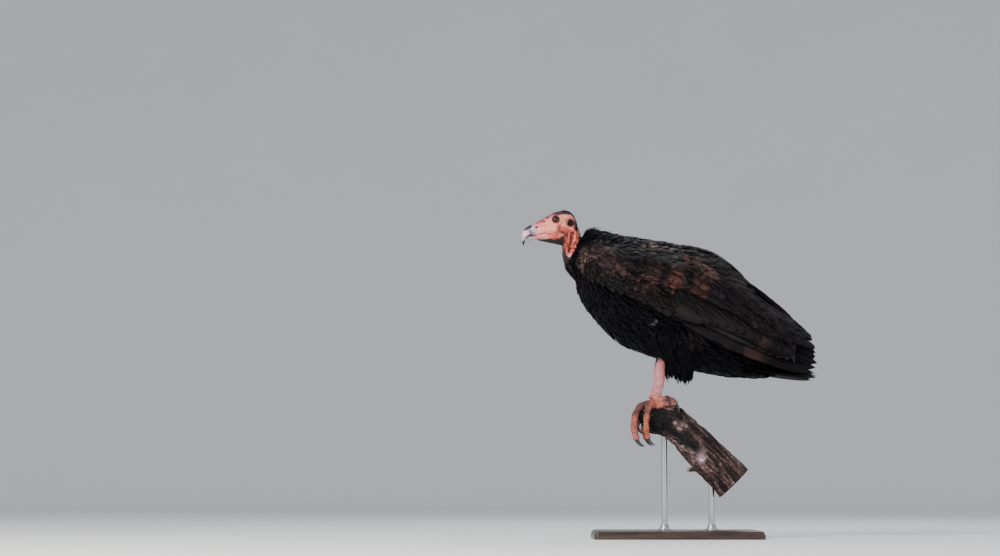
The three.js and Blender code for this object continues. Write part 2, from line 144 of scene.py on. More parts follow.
# ---------- meshes ----------
@dataclass
class Shell:
    """A closed surface: points in millimetres, with quads and triangles that index them."""

    points: Array
    quads: Array = field(default_factory=lambda: np.zeros((0, 4), int))
    tris: Array = field(default_factory=lambda: np.zeros((0, 3), int))

    @classmethod
    def loft(cls, rings: Array) -> "Shell":
        """The surface through rings of points (count, around, 3), closed at each end and facing out."""
        count, around = rings.shape[:2]
        at = np.arange(count * around).reshape(count, around)
        on = np.roll(at, -1, axis=1)
        quads = np.stack([at[:-1], on[:-1], on[1:], at[1:]], -1).reshape(-1, 4)
        poles = np.full(around, count * around)
        tris = np.vstack([np.stack([poles, on[0], at[0]], -1), np.stack([poles + 1, at[-1], on[-1]], -1)])
        points = np.vstack([rings.reshape(-1, 3), rings[0].mean(0), rings[-1].mean(0)])
        shell = cls(points, quads, tris)
        return shell if shell.volume() > 0 else shell.turned()

    @classmethod
    def joined(cls, shells: Sequence["Shell"]) -> "Shell":
        """Several shells as one."""
        starts = np.cumsum([0] + [len(s.points) for s in shells])
        return cls(np.vstack([s.points for s in shells]),
                   np.vstack([s.quads + n for s, n in zip(shells, starts)]),
                   np.vstack([s.tris + n for s, n in zip(shells, starts)]))

    def turned(self) -> "Shell":
        """The same surface with its faces the other way round."""
        return Shell(self.points, self.quads[:, ::-1], self.tris[:, ::-1])

    def volume(self) -> float:
        """The volume inside, as the sum of the tetrahedra from the origin to each face."""
        q = self.quads
        t = np.vstack([self.tris, q[:, [0, 1, 2]], q[:, [0, 2, 3]]])
        a, b, c = (self.points[t[:, k]] for k in range(3))
        return float(np.einsum("ij,ij->i", a, np.cross(b, c)).sum() / 6)


def add_object(name: str, shell: Shell, *materials: Material) -> Object:
    """A new object at the origin that holds the shell, smooth shaded, with its materials."""
    mesh = bpy.data.meshes.new(name)
    mesh.vertices.add(len(shell.points))
    mesh.vertices.foreach_set("co", (shell.points * MM).astype(np.float32).ravel())
    loops = np.concatenate([shell.quads.ravel(), shell.tris.ravel()]).astype(np.int32)
    q, t = len(shell.quads), len(shell.tris)
    mesh.loops.add(len(loops))
    mesh.loops.foreach_set("vertex_index", loops)
    mesh.polygons.add(q + t)
    starts = np.concatenate([np.arange(q) * 4, 4 * q + np.arange(t) * 3]).astype(np.int32)
    mesh.polygons.foreach_set("loop_start", starts)
    mesh.update(calc_edges=True)
    mesh.validate()
    mesh.shade_smooth()
    for material in materials:
        mesh.materials.append(material)
    item = bpy.data.objects.new(name, mesh)
    bpy.context.scene.collection.objects.link(item)
    return item


def settle(item: Object) -> None:
    """Makes the object's modifiers part of its mesh."""
    mesh = bpy.data.meshes.new_from_object(item.evaluated_get(bpy.context.evaluated_depsgraph_get()))
    item.modifiers.clear()
    old, item.data = item.data, mesh
    bpy.data.meshes.remove(old)
    mesh.name = item.name
    mesh.shade_smooth()


def fuse(name: str, shells: Sequence[Shell], voxel: float) -> Object:
    """Closed shells that overlap, made one even skin of small squares about voxel millimetres wide."""
    item = add_object(name, Shell.joined(shells))
    remesh = item.modifiers.new("remesh", "REMESH")
    remesh.mode = "VOXEL"
    remesh.voxel_size = voxel * MM
    settle(item)
    return item


def places(item: Object) -> Array:
    """The object's vertices in millimetres."""
    flat = np.empty(len(item.data.vertices) * 3, np.float32)
    item.data.vertices.foreach_get("co", flat)
    return flat.reshape(-1, 3).astype(float) / MM


def outward(item: Object) -> Array:
    """The object's vertex normals."""
    flat = np.empty(len(item.data.vertices) * 3, np.float32)
    item.data.vertex_normals.foreach_get("vector", flat)
    return flat.reshape(-1, 3).astype(float)


def move_to(item: Object, points: Array) -> None:
    """Moves the object's vertices to points in millimetres."""
    item.data.vertices.foreach_set("co", (points * MM).astype(np.float32).ravel())
    item.data.update()


def relax(item: Object, rounds: int, share: float = 0.5, where: Array | None = None) -> None:
    """Smooths the object: each vertex goes part of the way to the middle of its neighbours, several times."""
    edges = np.empty(len(item.data.edges) * 2, np.int32)
    item.data.edges.foreach_get("vertices", edges)
    a, b = edges.reshape(-1, 2).T
    points = places(item)
    count = np.maximum(np.bincount(np.concatenate([a, b]), minlength=len(points)), 1)
    weight = share if where is None else share * where[:, None]
    for _ in range(rounds):
        middle = np.stack([np.bincount(np.concatenate([a, b]), np.concatenate([points[b, k], points[a, k]]),
                                       minlength=len(points)) / count for k in range(3)], -1)
        points = points + (middle - points) * weight
    move_to(item, points)


def paint(item: Object, name: str, colour: Array, alpha: Array | float = 1.0) -> None:
    """Keeps a colour for each vertex, and a fourth number beside it, as a named attribute."""
    rgba = np.empty((len(colour), 4), np.float32)
    rgba[:, :3] = colour
    rgba[:, 3] = alpha
    item.data.color_attributes.new(name, "FLOAT_COLOR", "POINT").data.foreach_set("color", rgba.ravel())


def unwrap(item: Object, name: str, uv: Array) -> None:
    """Adds a UV map that holds one place for each vertex."""
    corners = np.empty(len(item.data.loops), np.int32)
    item.data.loops.foreach_get("vertex_index", corners)
    layer = item.data.uv_layers.new(name=name)
    layer.uv.foreach_set("vector", uv[corners].astype(np.float32).ravel())


def dress(item: Object, slot: str, *nodes: str) -> None:
    """Fixes a finished piece to the body and hides the solids that it stands for."""
    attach(item, "root")
    if nodes:
        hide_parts(*nodes)
    LOG.info("%s: %d faces", item.name, len(item.data.polygons))


# ---------- materials ----------
class Graph:
    """Builds a node tree in few words."""

    def __init__(self, tree: bpy.types.NodeTree) -> None:
        """Keeps the tree that nodes are added to."""
        self.tree = tree

    def add(self, kind: str, inputs: dict | None = None, **settings) -> bpy.types.Node:
        """Adds a node, sets its own settings, and feeds its inputs.

        Args:
            kind: the node's type without its leading "ShaderNode".
            inputs: each input's name or number, with a plain value or the socket that feeds it.
            **settings: the node's own properties.

        Returns:
            The node.
        """
        node = self.tree.nodes.new("ShaderNode" + kind)
        for key, value in settings.items():
            setattr(node, key, value)
        for key, value in (inputs or {}).items():
            if isinstance(value, Socket):
                self.tree.links.new(value, node.inputs[key])
            else:
                node.inputs[key].default_value = value
        return node

    def math(self, operation: str, *values) -> Socket:
        """The result of one sum on plain numbers or sockets."""
        return self.add("Math", dict(enumerate(values)), operation=operation).outputs[0]

    def scaled(self, a, b) -> Socket:
        """One value times another."""
        return self.math("MULTIPLY", a, b)

    def fitted(self, value, by: float, start) -> Socket:
        """The value times by, added to start."""
        return self.math("MULTIPLY_ADD", value, by, start)

    def rest(self, value) -> Socket:
        """What the value leaves of 1."""
        return self.math("SUBTRACT", 1.0, value)

    def mix(self, share, a, b) -> Socket:
        """A colour share of the way from a to b."""
        return self.add("Mix", {0: share, 6: a, 7: b}, data_type="RGBA").outputs[2]

    def times(self, colour, factors: Colour) -> Socket:
        """A colour with each channel multiplied by its own number."""
        return self.add("VectorMath", {0: colour, 1: factors}, operation="MULTIPLY").outputs[0]

    def where(self) -> Socket:
        """Each point's place on the object."""
        return self.add("TexCoord").outputs["Object"]

    def stretch(self, where, scale: Colour) -> Socket:
        """Places scaled along each axis, so that a pattern on them is drawn out where the scale is small."""
        return self.add("Mapping", {"Vector": where, "Scale": scale}).outputs[0]

    def patch(self, value, low: float, high: float, share: float) -> Socket:
        """The value mapped smoothly from low..high to 0..share."""
        return self.scaled(self.span(value, low, high), share)

    def span(self, value, low: float, high: float) -> Socket:
        """The value mapped smoothly from low..high to 0..1."""
        return self.add("MapRange", {0: value, 1: low, 2: high}, interpolation_type="SMOOTHSTEP").outputs[0]

    def clouds(self, where, size: float, detail: float = 4.0, rough: float = 0.6) -> Socket:
        """Noise from 0 to 1 whose largest lumps are about size millimetres across."""
        inputs = {"Vector": where, "Scale": 1000 / size, "Detail": detail, "Roughness": rough}
        return self.add("TexNoise", inputs).outputs[0]

    def cells(self, where, size: float, feature: str = "DISTANCE_TO_EDGE") -> Socket:
        """The distance to the nearest edge of a net of cells about size millimetres across."""
        return self.add("TexVoronoi", {"Vector": where, "Scale": 1000 / size}, feature=feature).outputs["Distance"]


def node_group(name: str, inputs: dict[str, tuple], outputs: dict[str, str]) -> tuple[Graph, dict, bpy.types.Node]:
    """A new shader node group with named inputs and outputs.

    Args:
        name: the group's name.
        inputs: each input's name with its kind, Float or Color, and its first value.
        outputs: each output's name with its kind.

    Returns:
        The group's graph, its input sockets by name, and its output node.
    """
    tree = bpy.data.node_groups.new(name, "ShaderNodeTree")
    for key, (kind, value) in inputs.items():
        tree.interface.new_socket(key, in_out="INPUT", socket_type="NodeSocket" + kind).default_value = value
    for key, kind in outputs.items():
        tree.interface.new_socket(key, in_out="OUTPUT", socket_type="NodeSocket" + kind)
    start, end = tree.nodes.new("NodeGroupInput"), tree.nodes.new("NodeGroupOutput")
    return Graph(tree), {s.name: s for s in start.outputs if s.name}, end


def vane_group() -> bpy.types.NodeTree:
    """How a vane looks: barbs slant from its shaft to its edge, and the shaft stands out a little.

    The vane's own map counts centimetres across from the shaft and along from the root. The tint's fourth
    number is 0 at the shaft and 1 at the edge.
    """
    graph, given, end = node_group("vane", {"Tint": ("Color", (0.02, 0.02, 0.02, 1)), "Across": ("Float", 0.0),
                                            "Barbs": ("Float", 9.0), "Shaft": ("Float", 0.5)},
                                   {"Color": "Color", "Roughness": "Float", "Height": "Float"})
    place = graph.add("SeparateXYZ", {0: graph.add("UVMap", uv_map="Vane").outputs[0]})
    across = graph.math("ABSOLUTE", place.outputs[0])
    slant = graph.math("SUBTRACT", place.outputs[1], graph.scaled(across, 1.3))
    where = graph.where()
    wander = graph.clouds(where, 9.0, 2.0)
    phase = graph.scaled(graph.math("ADD", slant, graph.scaled(wander, 0.45)), given["Barbs"])
    barbs = graph.math("SINE", graph.scaled(phase, math.tau))
    shaft = graph.rest(graph.span(given["Across"], 0.03, 0.12))
    mottle = graph.clouds(where, 22.0, 3.0)
    bright = graph.math("ADD", graph.scaled(barbs, 0.1), graph.fitted(mottle, 0.7, 0.65))
    tone = graph.mix(1.0, given["Tint"], bright)
    tone.node.blend_type = "MULTIPLY"
    shafted = graph.mix(graph.scaled(shaft, given["Shaft"]), tone, (0.045, 0.032, 0.028, 1))
    rough = graph.fitted(wander, 0.3, 0.4)
    height = graph.math("ADD", graph.scaled(barbs, 0.5), graph.scaled(shaft, 1.5))
    for socket, name in ((shafted, "Color"), (rough, "Roughness"), (height, "Height")):
        graph.tree.links.new(socket, end.inputs[name])
    return graph.tree


def wrinkle_group() -> bpy.types.NodeTree:
    """Fine skin relief: soft wrinkles and grains, and a net of scales with its creases where Scales asks for it."""
    graph, given, end = node_group("wrinkle", {"Scales": ("Float", 0.0)}, {"Height": "Float", "Crease": "Float"})
    where = graph.where()
    warp = graph.add("TexNoise", {"Vector": where, "Scale": 160.0, "Detail": 2.0}).outputs[1]
    bent = graph.add("VectorMath", {0: warp, 1: (0.0035,) * 3, 2: where}, operation="MULTIPLY_ADD").outputs[0]
    scales = graph.span(graph.cells(bent, 2.8), 0.0, 0.2)
    grains = graph.rest(graph.span(graph.cells(bent, 1.25, "F1"), 0.0, 0.7))
    wrinkles = graph.clouds(bent, 3.2, 5.0, 0.72)
    soft = graph.fitted(wrinkles, 1.3, graph.scaled(grains, 0.3))
    height = graph.math("ADD", soft, graph.scaled(graph.scaled(scales, given["Scales"]), 0.9))
    crease = graph.scaled(graph.rest(scales), given["Scales"])
    graph.tree.links.new(height, end.inputs["Height"])
    graph.tree.links.new(crease, end.inputs["Crease"])
    return graph.tree


class Finish(Enum):
    """The finishes of the bird, its branch and its stand, by their material's name."""

    SKIN = "bare_skin"
    PLUMAGE = "body_feathers"
    FLIGHT = "flight_feathers"
    BRISTLE = "bristles"
    BILL = "bill_horn"
    CLAW = "claw_horn"
    EYE = "eye"
    BARK = "bark"
    WOOD = "stained_wood"
    STEEL = "brushed_steel"
    STUDIO = "studio_floor"


class Finishes:
    """Every material, each built by its own method and kept by its finish."""

    def __init__(self) -> None:
        """Builds the shared groups and all the materials."""
        self.vane = vane_group()
        self.wrinkle = wrinkle_group()
        self.made: dict[Finish, Material] = {}
        for finish in Finish:
            material = bpy.data.materials.new(finish.value)
            material.use_nodes = True
            material.node_tree.nodes.clear()
            self.made[finish] = material
            getattr(self, finish.name.lower())(Graph(material.node_tree))

    def __getitem__(self, finish: Finish) -> Material:
        """The material of a finish."""
        return self.made[finish]

    @staticmethod
    def surface(graph: Graph, inputs: dict, height=None, depth: float = 0.0) -> None:
        """Ends a graph with its one shader.

        Args:
            graph: the material's graph.
            inputs: the shader's inputs by name.
            height: a socket of heights for a bump, or None for a smooth surface.
            depth: the bump's depth in millimetres.
        """
        if height is not None:
            bump = graph.add("Bump", {"Height": height, "Distance": depth * MM, "Strength": 1.0})
            inputs["Normal"] = bump.outputs[0]
        shader = graph.add("BsdfPrincipled", inputs)
        graph.add("OutputMaterial", {"Surface": shader.outputs[0]})

    def feather(self, graph: Graph, barbs: float, shaft: float, depth: float, gloss: float) -> None:
        """A vane's material: the tint of each feather, worked over by the vane group."""
        tint = graph.add("Attribute", attribute_name="Tint")
        group = graph.add("Group", node_tree=self.vane)
        graph.tree.links.new(tint.outputs["Color"], group.inputs["Tint"])
        graph.tree.links.new(tint.outputs["Alpha"], group.inputs["Across"])
        group.inputs["Barbs"].default_value = barbs
        group.inputs["Shaft"].default_value = shaft
        self.surface(graph, {"Base Color": group.outputs["Color"], "Roughness": group.outputs["Roughness"],
                             "Specular IOR Level": gloss}, group.outputs["Height"], depth)

    def plumage(self, graph: Graph) -> None:
        """Loose body feathers."""
        self.feather(graph, barbs=7.0, shaft=0.1, depth=0.1, gloss=0.045)

    def flight(self, graph: Graph) -> None:
        """Firm coverts and flight feathers, with a clear shaft."""
        self.feather(graph, barbs=9.0, shaft=0.25, depth=0.08, gloss=0.07)

    def bristle(self, graph: Graph) -> None:
        """Short dark hair-like feathers on the head."""
        where = graph.where()
        tone = graph.mix(graph.clouds(where, 6.0), (0.006, 0.005, 0.006, 1), (0.018, 0.012, 0.01, 1))
        self.surface(graph, {"Base Color": tone, "Roughness": 0.55, "Specular IOR Level": 0.12})

    def skin(self, graph: Graph) -> None:
        """Bare skin: its markings are painted on the mesh, darker in the creases, with painted shade where its
        relief sinks, redder where it is thin.
        """
        marking = graph.add("Attribute", attribute_name="Marking")
        where = graph.where()
        group = graph.add("Group", node_tree=self.wrinkle)
        graph.tree.links.new(graph.add("Attribute", attribute_name="Scales").outputs["Fac"], group.inputs["Scales"])
        blotch = graph.clouds(where, 7.0, 5.0, 0.7)
        warm = graph.mix(graph.patch(blotch, 0.52, 0.72, 0.45), marking.outputs["Color"], (0.5, 0.07, 0.05, 1))
        pale = graph.mix(graph.patch(graph.clouds(where, 3.2), 0.56, 0.75, 0.25), warm, (0.75, 0.5, 0.38, 1))
        bare = graph.mix(marking.outputs["Alpha"], marking.outputs["Color"], pale)
        creased = graph.mix(graph.scaled(group.outputs["Crease"], 0.75), bare, (0.075, 0.018, 0.015, 1))
        # painted shade: darker where the relief is low
        low = graph.rest(graph.span(group.outputs["Height"], 0.62, 0.92))
        shaded = graph.mix(graph.scaled(low, 0.7), creased, graph.times(creased, (0.8, 0.56, 0.54)))
        rough = graph.fitted(graph.clouds(where, 2.0), 0.25, 0.38)
        self.surface(graph, {"Base Color": shaded, "Roughness": rough, "Specular IOR Level": 0.32,
                             "Subsurface Weight": 0.08, "Subsurface Radius": (1.0, 0.3, 0.2),
                             "Subsurface Scale": 0.0015}, group.outputs["Height"], 0.6)

    def bill(self, graph: Graph) -> None:
        """Horn of the bill: painted zones, streaked along its growth, worn dull in places."""
        marking = graph.add("Attribute", attribute_name="Marking")
        where = graph.where()
        stretched = graph.stretch(where, (0.35, 1.0, 1.6))
        streak = graph.clouds(stretched, 3.0, 5.0, 0.65)
        tone = graph.mix(graph.span(streak, 0.35, 0.75), marking.outputs["Color"], (0.02, 0.018, 0.02, 1))
        flaked = graph.mix(graph.patch(graph.clouds(where, 1.6), 0.6, 0.8, 0.4), marking.outputs["Color"], tone)
        stained = graph.times(flaked, (0.42, 0.36, 0.4))
        mixed = graph.mix(graph.patch(streak, 0.45, 0.8, 0.6), flaked, stained)
        rough = graph.fitted(streak, 0.35, 0.22)
        self.surface(graph, {"Base Color": mixed, "Roughness": rough, "Specular IOR Level": 0.25}, streak, 0.35)

    def claw(self, graph: Graph) -> None:
        """Blue-black horn of the claws."""
        where = graph.where()
        streak = graph.clouds(where, 2.2, 4.0)
        tone = graph.mix(graph.span(streak, 0.4, 0.7), (0.016, 0.017, 0.024, 1), (0.07, 0.06, 0.06, 1))
        rough = graph.fitted(streak, 0.3, 0.15)
        self.surface(graph, {"Base Color": tone, "Roughness": rough}, streak, 0.12)

    def eye(self, graph: Graph) -> None:
        """The wet eyeball: black pupil, dark brown iris with fine rays, darker rim."""
        ray = graph.add("SeparateXYZ", {0: graph.add("UVMap", uv_map="Iris").outputs[0]})
        out, around = ray.outputs[1], ray.outputs[0]
        wave = graph.math("SINE", graph.scaled(around, math.tau * 44))
        grain = graph.clouds(graph.where(), 1.0)
        rays = graph.fitted(wave, 0.2, grain)
        iris = graph.mix(rays, (0.022, 0.007, 0.004, 1), (0.08, 0.026, 0.012, 1))
        rimmed = graph.mix(graph.span(out, 0.3, 0.37), iris, (0.006, 0.004, 0.004, 1))
        whole = graph.mix(graph.span(out, 0.135, 0.155), (0.002, 0.002, 0.002, 1), rimmed)
        self.surface(graph, {"Base Color": whole, "Roughness": 0.035, "Specular IOR Level": 0.4})

    def bark(self, graph: Graph) -> None:
        """Weathered bark with pale crust, and raw wood where the branch is sawn or broken."""
        marking = graph.add("Attribute", attribute_name="Marking")
        where = graph.where()
        flakes = graph.span(graph.cells(where, 9.0), 0.0, 0.3)
        fine = graph.clouds(where, 5.0, 6.0, 0.7)
        painted = marking.outputs["Color"]
        # painted shade in the gaps between the bark's flakes, where the bump sinks
        gap_shade = graph.scaled(graph.rest(flakes), 0.7)
        dark = graph.mix(gap_shade, painted, graph.times(painted, (0.22, 0.19, 0.2)))
        mottle = graph.patch(fine, 0.5, 0.72, 0.6)
        mottled = graph.mix(mottle, dark, graph.times(dark, (2.2, 2.2, 2.2)))
        lichen = graph.patch(graph.clouds(where, 15.0, 5.0, 0.75), 0.54, 0.64, 0.65)
        crust = graph.mix(lichen, mottled, graph.times(painted, (2.9, 3.2, 3.1)))
        outer = graph.mix(marking.outputs["Alpha"], painted, crust)
        grain = graph.mix(graph.scaled(fine, 0.6), outer, graph.times(outer, (0.45, 0.4, 0.4)))
        height = graph.math("ADD", graph.scaled(flakes, 0.6), fine)
        self.surface(graph, {"Base Color": grain, "Roughness": graph.fitted(fine, 0.25, 0.7),
                             "Specular IOR Level": 0.2}, height, 1.2)

    def wood(self, graph: Graph) -> None:
        """Dark stained wood with grain along X and a satin varnish."""
        where = graph.where()
        stretched = graph.stretch(where, (0.06, 1.0, 1.0))
        grain = graph.clouds(stretched, 9.0, 8.0, 0.68)
        pores = graph.clouds(graph.stretch(where, (0.03, 1.0, 1.0)), 1.4, 2.0)
        tone = graph.mix(graph.span(grain, 0.35, 0.7), (0.018, 0.01, 0.007, 1), (0.065, 0.036, 0.022, 1))
        dusty = graph.mix(graph.patch(pores, 0.58, 0.7, 0.5), tone, (0.008, 0.005, 0.004, 1))
        rough = graph.fitted(grain, 0.2, 0.28)
        self.surface(graph, {"Base Color": dusty, "Roughness": rough, "Coat Weight": 0.2,
                             "Coat Roughness": 0.25}, pores, 0.06)

    def steel(self, graph: Graph) -> None:
        """Steel rod, brushed round its length."""
        where = graph.where()
        rings = graph.clouds(graph.stretch(where, (0.2, 0.2, 6.0)), 1.5, 3.0)
        tone = graph.mix(rings, (0.42, 0.43, 0.45, 1), (0.62, 0.63, 0.65, 1))
        rough = graph.fitted(rings, 0.25, 0.2)
        self.surface(graph, {"Base Color": tone, "Metallic": 1.0, "Roughness": rough}, rings, 0.02)

    def studio(self, graph: Graph) -> None:
        """The plain pale floor."""
        where = graph.where()
        tone = graph.mix(graph.clouds(where, 900.0, 2.0), (0.84, 0.84, 0.84, 1), (0.87, 0.87, 0.87, 1))
        self.surface(graph, {"Base Color": tone, "Roughness": 0.9})


# ---------- forms ----------
@dataclass(frozen=True)
class Ribbed:
    """A body form that runs between two rails in side view, with oval sections across it.

    At a place along it and a turn round it, y = offset + half_width * cos(turn), and in side view the point
    stands at middle + half * sin(turn) on the line from the bottom rail to the top rail.
    """

    top: Points
    bottom: Points
    half_width: Sequence[float]
    offset: Sequence[float] = (0.0, 0.0)

    def at(self, along: Array, turn: Array, depth: Array | float = 0.0, side: int = 1) -> Array:
        """Points of the form.

        Args:
            along: 0 at the rails' first points and 1 at their last.
            turn: the angle round the section, 0 on the outer side and a quarter turn at the top rail.
            depth: how far inside the surface the points lie, in millimetres.
            side: 1 for the bird's right side and -1 for its left.

        Returns:
            The points, in millimetres.
        """
        high, low = rail(self.top, along), rail(self.bottom, along)
        middle, half = (high + low) / 2, (high - low) / 2
        size = np.linalg.norm(half, axis=-1)
        up = np.maximum(size - depth, 0.2) / size * np.sin(turn)
        out = np.maximum(rail(self.half_width, along) - depth, 0.2) * np.cos(turn)
        xz = middle + half * up[..., None]
        return np.stack([xz[..., 0], side * (rail(self.offset, along) + out), xz[..., 1]], -1)

    def rings(self, count: int, around: int, depth: float = 0.0, side: int = 1,
              span: tuple[float, float] = (0.0, 1.0)) -> Array:
        """Rings of points across the form, ready to loft, from one end of the span to the other."""
        return self.at(*grid(np.linspace(*span, count), around), depth, side)


class Surface:
    """A patch of the bird that vanes lie on: u runs the way they point, and v across it.

    Each patch has a chart, its own upright strip of the skin's unwrap: left edge, low edge, width and height.
    """

    chart: tuple[float, float, float, float]

    def at(self, u: Array, v: Array, depth: Array | float = 0.0) -> Array:
        """Points of the patch, some depth below its surface."""
        raise NotImplementedError

    def lie(self, u: Array, v: Array) -> tuple[Array, Array, Array, Array]:
        """Points, the two slopes there and the outward normals, by small differences."""
        step = 1e-3
        here = self.at(u, v)
        along = (self.at(u + step, v) - self.at(u - step, v)) / (2 * step)
        across = (self.at(u, v + step) - self.at(u, v - step)) / (2 * step)
        normal = unit(np.cross(along, across))
        out = here - self.at(u, v, 1.0)
        return here, along, across, normal * np.sign(np.sum(normal * out, -1, keepdims=True))

    def on_chart(self, u: Array, v: Array) -> Array:
        """Places on the skin's unwrap."""
        left, low, width, height = self.chart
        return np.stack([left + width * np.clip(u, 0, 1), low + height * np.clip(v / self.reach(), 0, 1)], -1)

    def reach(self) -> float:
        """How far v runs."""
        return 1.0


@dataclass(frozen=True)
class Flank(Surface):
    """One side of a ribbed form: v is 0 on the top rail, 1 on the bottom rail and 2 back at the top."""

    form: Ribbed
    side: int
    chart: tuple[float, float, float, float]
    round: float = 1.0

    def at(self, u: Array, v: Array, depth: Array | float = 0.0) -> Array:
        """Points of the side."""
        return self.form.at(u, math.pi * (0.5 - v), depth, self.side)

    def reach(self) -> float:
        """How far v runs: 1 on a half form and 2 on a whole one."""
        return self.round


@dataclass(frozen=True)
class WingFace(Surface):
    """The outer face of a folded wing: v is 0 on its upper edge and 1 on its lower edge.

    The face stands y_upper out at its upper edge and swells to y_full as a quarter sine, then falls in a
    square to y_lower at its lower edge. Above its upper edge it runs on level towards the bird's middle.
    """

    upper: Points
    lower: Points
    y_upper: Sequence[float]
    y_full: Sequence[float]
    y_lower: Sequence[float]
    side: int
    chart: tuple[float, float, float, float]
    full_at: float = 0.55

    def at(self, u: Array, v: Array, depth: Array | float = 0.0) -> Array:
        """Points of the face."""
        u, v = np.broadcast_arrays(np.asarray(u, float), np.asarray(v, float))
        edge = np.where(v < 0, 0.03 * np.tanh(v / 0.03), v)[..., None]
        xz = rail(self.upper, u) * (1 - edge) + rail(self.lower, u) * edge
        top, full, low = (rail(y, u) for y in (self.y_upper, self.y_full, self.y_lower))
        swell = top + (full - top) * np.sin(np.minimum(v / self.full_at, 1) * math.pi / 2)
        fall = full + (low - full) * np.square((v - self.full_at) / (1 - self.full_at))
        out = np.where(v < self.full_at, swell, fall)
        return np.stack([xz[..., 0], self.side * (out - depth), xz[..., 1]], -1)


@dataclass(frozen=True)
class Fan(Surface):
    """The tail's upper face: u from its root to its tip and v from its left edge to its right."""

    root: tuple[float, float] = (128.0, 418.0)
    tip: tuple[float, float] = (342.0, 378.0)
    half_width: tuple[float, float] = (26.0, 74.0)
    droop: float = 15.0
    crown: float = 17.0
    wedge: float = 20.0
    chart: tuple[float, float, float, float] = (0.76, 0.52, 0.2, 0.2)

    def at(self, u: Array, v: Array, depth: Array | float = 0.0) -> Array:
        """Points of the fan: its middle feathers stand crown higher and its tips form a wedge."""
        off = 2 * np.asarray(v, float) - 1
        x = self.root[0] + (self.tip[0] - self.wedge * off**2 - self.root[0]) * u
        z = self.root[1] + (self.tip[1] - self.root[1]) * u + (self.crown - self.droop * off**2) * u
        y = off * (self.half_width[0] + (self.half_width[1] - self.half_width[0]) * u)
        return np.stack(np.broadcast_arrays(x, y, z - depth), -1)


TRUNK = Ribbed(
    top=[[-205, 741], [-182, 736], [-130, 726], [-60, 714], [10, 701], [72, 668], [132, 600], [182, 524],
         [216, 462], [244, 416]],
    bottom=[[-254, 640], [-242, 621], [-232, 578], [-195, 522], [-137, 465], [-82, 441], [-18, 420], [52, 397],
            [132, 383], [210, 380]],
    half_width=[36, 52, 80, 99, 106, 103, 90, 68, 46, 30])
NECK = Ribbed(
    top=[[-225, 712], [-226, 700], [-226, 684], [-221, 666], [-206, 648]],
    bottom=[[-271, 701], [-269, 688], [-268, 668], [-260, 642], [-240, 618]],
    half_width=[23.5, 22.5, 22, 24, 30])
HEAD = Ribbed(
    top=[[-343, 751], [-326, 759.5], [-305, 771], [-284, 780.5], [-262, 784], [-246, 774.5], [-237.5, 757],
         [-233, 735], [-225.5, 712.6]],
    bottom=[[-332, 713.5], [-319, 711.5], [-303, 708], [-290, 705.5], [-281, 703.5], [-275, 702.5], [-272.5, 702],
            [-271.5, 702], [-271, 702]],
    half_width=[15, 18.5, 23, 27.5, 31, 32, 30.5, 27, 23.5])
BILL_UPPER = Ribbed(
    top=[[-339, 751.5], [-350, 748], [-359.5, 741.5], [-365.8, 732], [-368.4, 720], [-366.8, 708], [-363.6, 699.5]],
    bottom=[[-328, 725.5], [-341, 723.5], [-350, 720.5], [-355.5, 716.5], [-359.6, 710.5], [-361.8, 704.5],
            [-362.6, 699]],
    half_width=[13.6, 12.6, 10.8, 8.6, 6.2, 3.6, 1.2])
BILL_LOWER = Ribbed(
    top=[[-328, 725], [-340, 722.6], [-349, 719], [-355.5, 714.5]],
    bottom=[[-328, 716.0], [-340, 713.2], [-349, 712.4], [-355, 712.8]],
    half_width=[8.6, 9.3, 7.2, 3.0])
THIGH = Ribbed(
    top=[[-46, 538], [-66, 482], [-57, 446], [-31, 417], [-21, 386]],
    bottom=[[16, 532], [50, 460], [50, 424], [43, 402], [38, 384]],
    half_width=[22, 39, 32, 25, 18],
    offset=[46, 62, 52, 46, 43])
PERCH = Ribbed(
    top=[[-91, 301], [-74, 316], [-40, 322], [4, 316], [32, 291], [76, 255], [124, 208], [170, 163]],
    bottom=[[-88, 280], [-76, 262], [-60, 250], [-38, 247], [-12, 229], [22, 190], [64, 144], [104, 98]],
    half_width=[30, 40, 45, 46.5, 46, 46.5, 48.5, 50])


def wing_face(side: int, left: float) -> WingFace:
    """The face of one wing, with its chart's left edge."""
    return WingFace(
        upper=[[-226, 690], [-190, 710], [-120, 707], [-30, 699], [62, 685], [128, 651], [214, 570], [276, 521],
               [306, 496]],
        lower=[[-236, 652], [-208, 620], [-152, 588], [-72, 552], [30, 500], [120, 456], [206, 424], [268, 405],
               [300, 397]],
        y_upper=[44, 46, 46, 44, 38, 30, 20, 14, 11],
        y_full=[58, 90, 120, 132, 128, 112, 86, 66, 56],
        y_lower=[54, 78, 106, 118, 116, 104, 84, 68, 60],
        side=side, chart=(left, 0.0, 0.22, 0.46))


def hand_face(side: int, left: float) -> WingFace:
    """The layer under a wing's outer face that its primaries lie on, with its chart's left edge."""
    return WingFace(
        upper=[[-40, 592], [60, 560], [150, 540], [232, 530], [280, 508], [312, 484], [334, 467]],
        lower=[[-60, 552], [30, 506], [118, 462], [206, 426], [262, 404], [306, 394], [340, 388]],
        y_upper=[96, 84, 56, 26, 12, 8, 6],
        y_full=[108, 100, 80, 52, 34, 28, 24],
        y_lower=[108, 106, 92, 72, 58, 48, 42],
        side=side, chart=(left, 0.48, 0.22, 0.2), full_at=0.5)


# ---------- the coat ----------
@dataclass(frozen=True)
class Cut:
    """How one kind of vane is cut: its outline, its relief and how finely it is meshed."""

    outline: tuple[float, ...] = (0.25, 0.75, 1.0, 1.0, 0.85, 0.4)
    columns: int = 3
    stations: int = 5
    thickness: float = 0.45
    camber: float = 0.14
    ragged: float = 0.1
    notch: float = 0.0
    shaft: float = 0.0


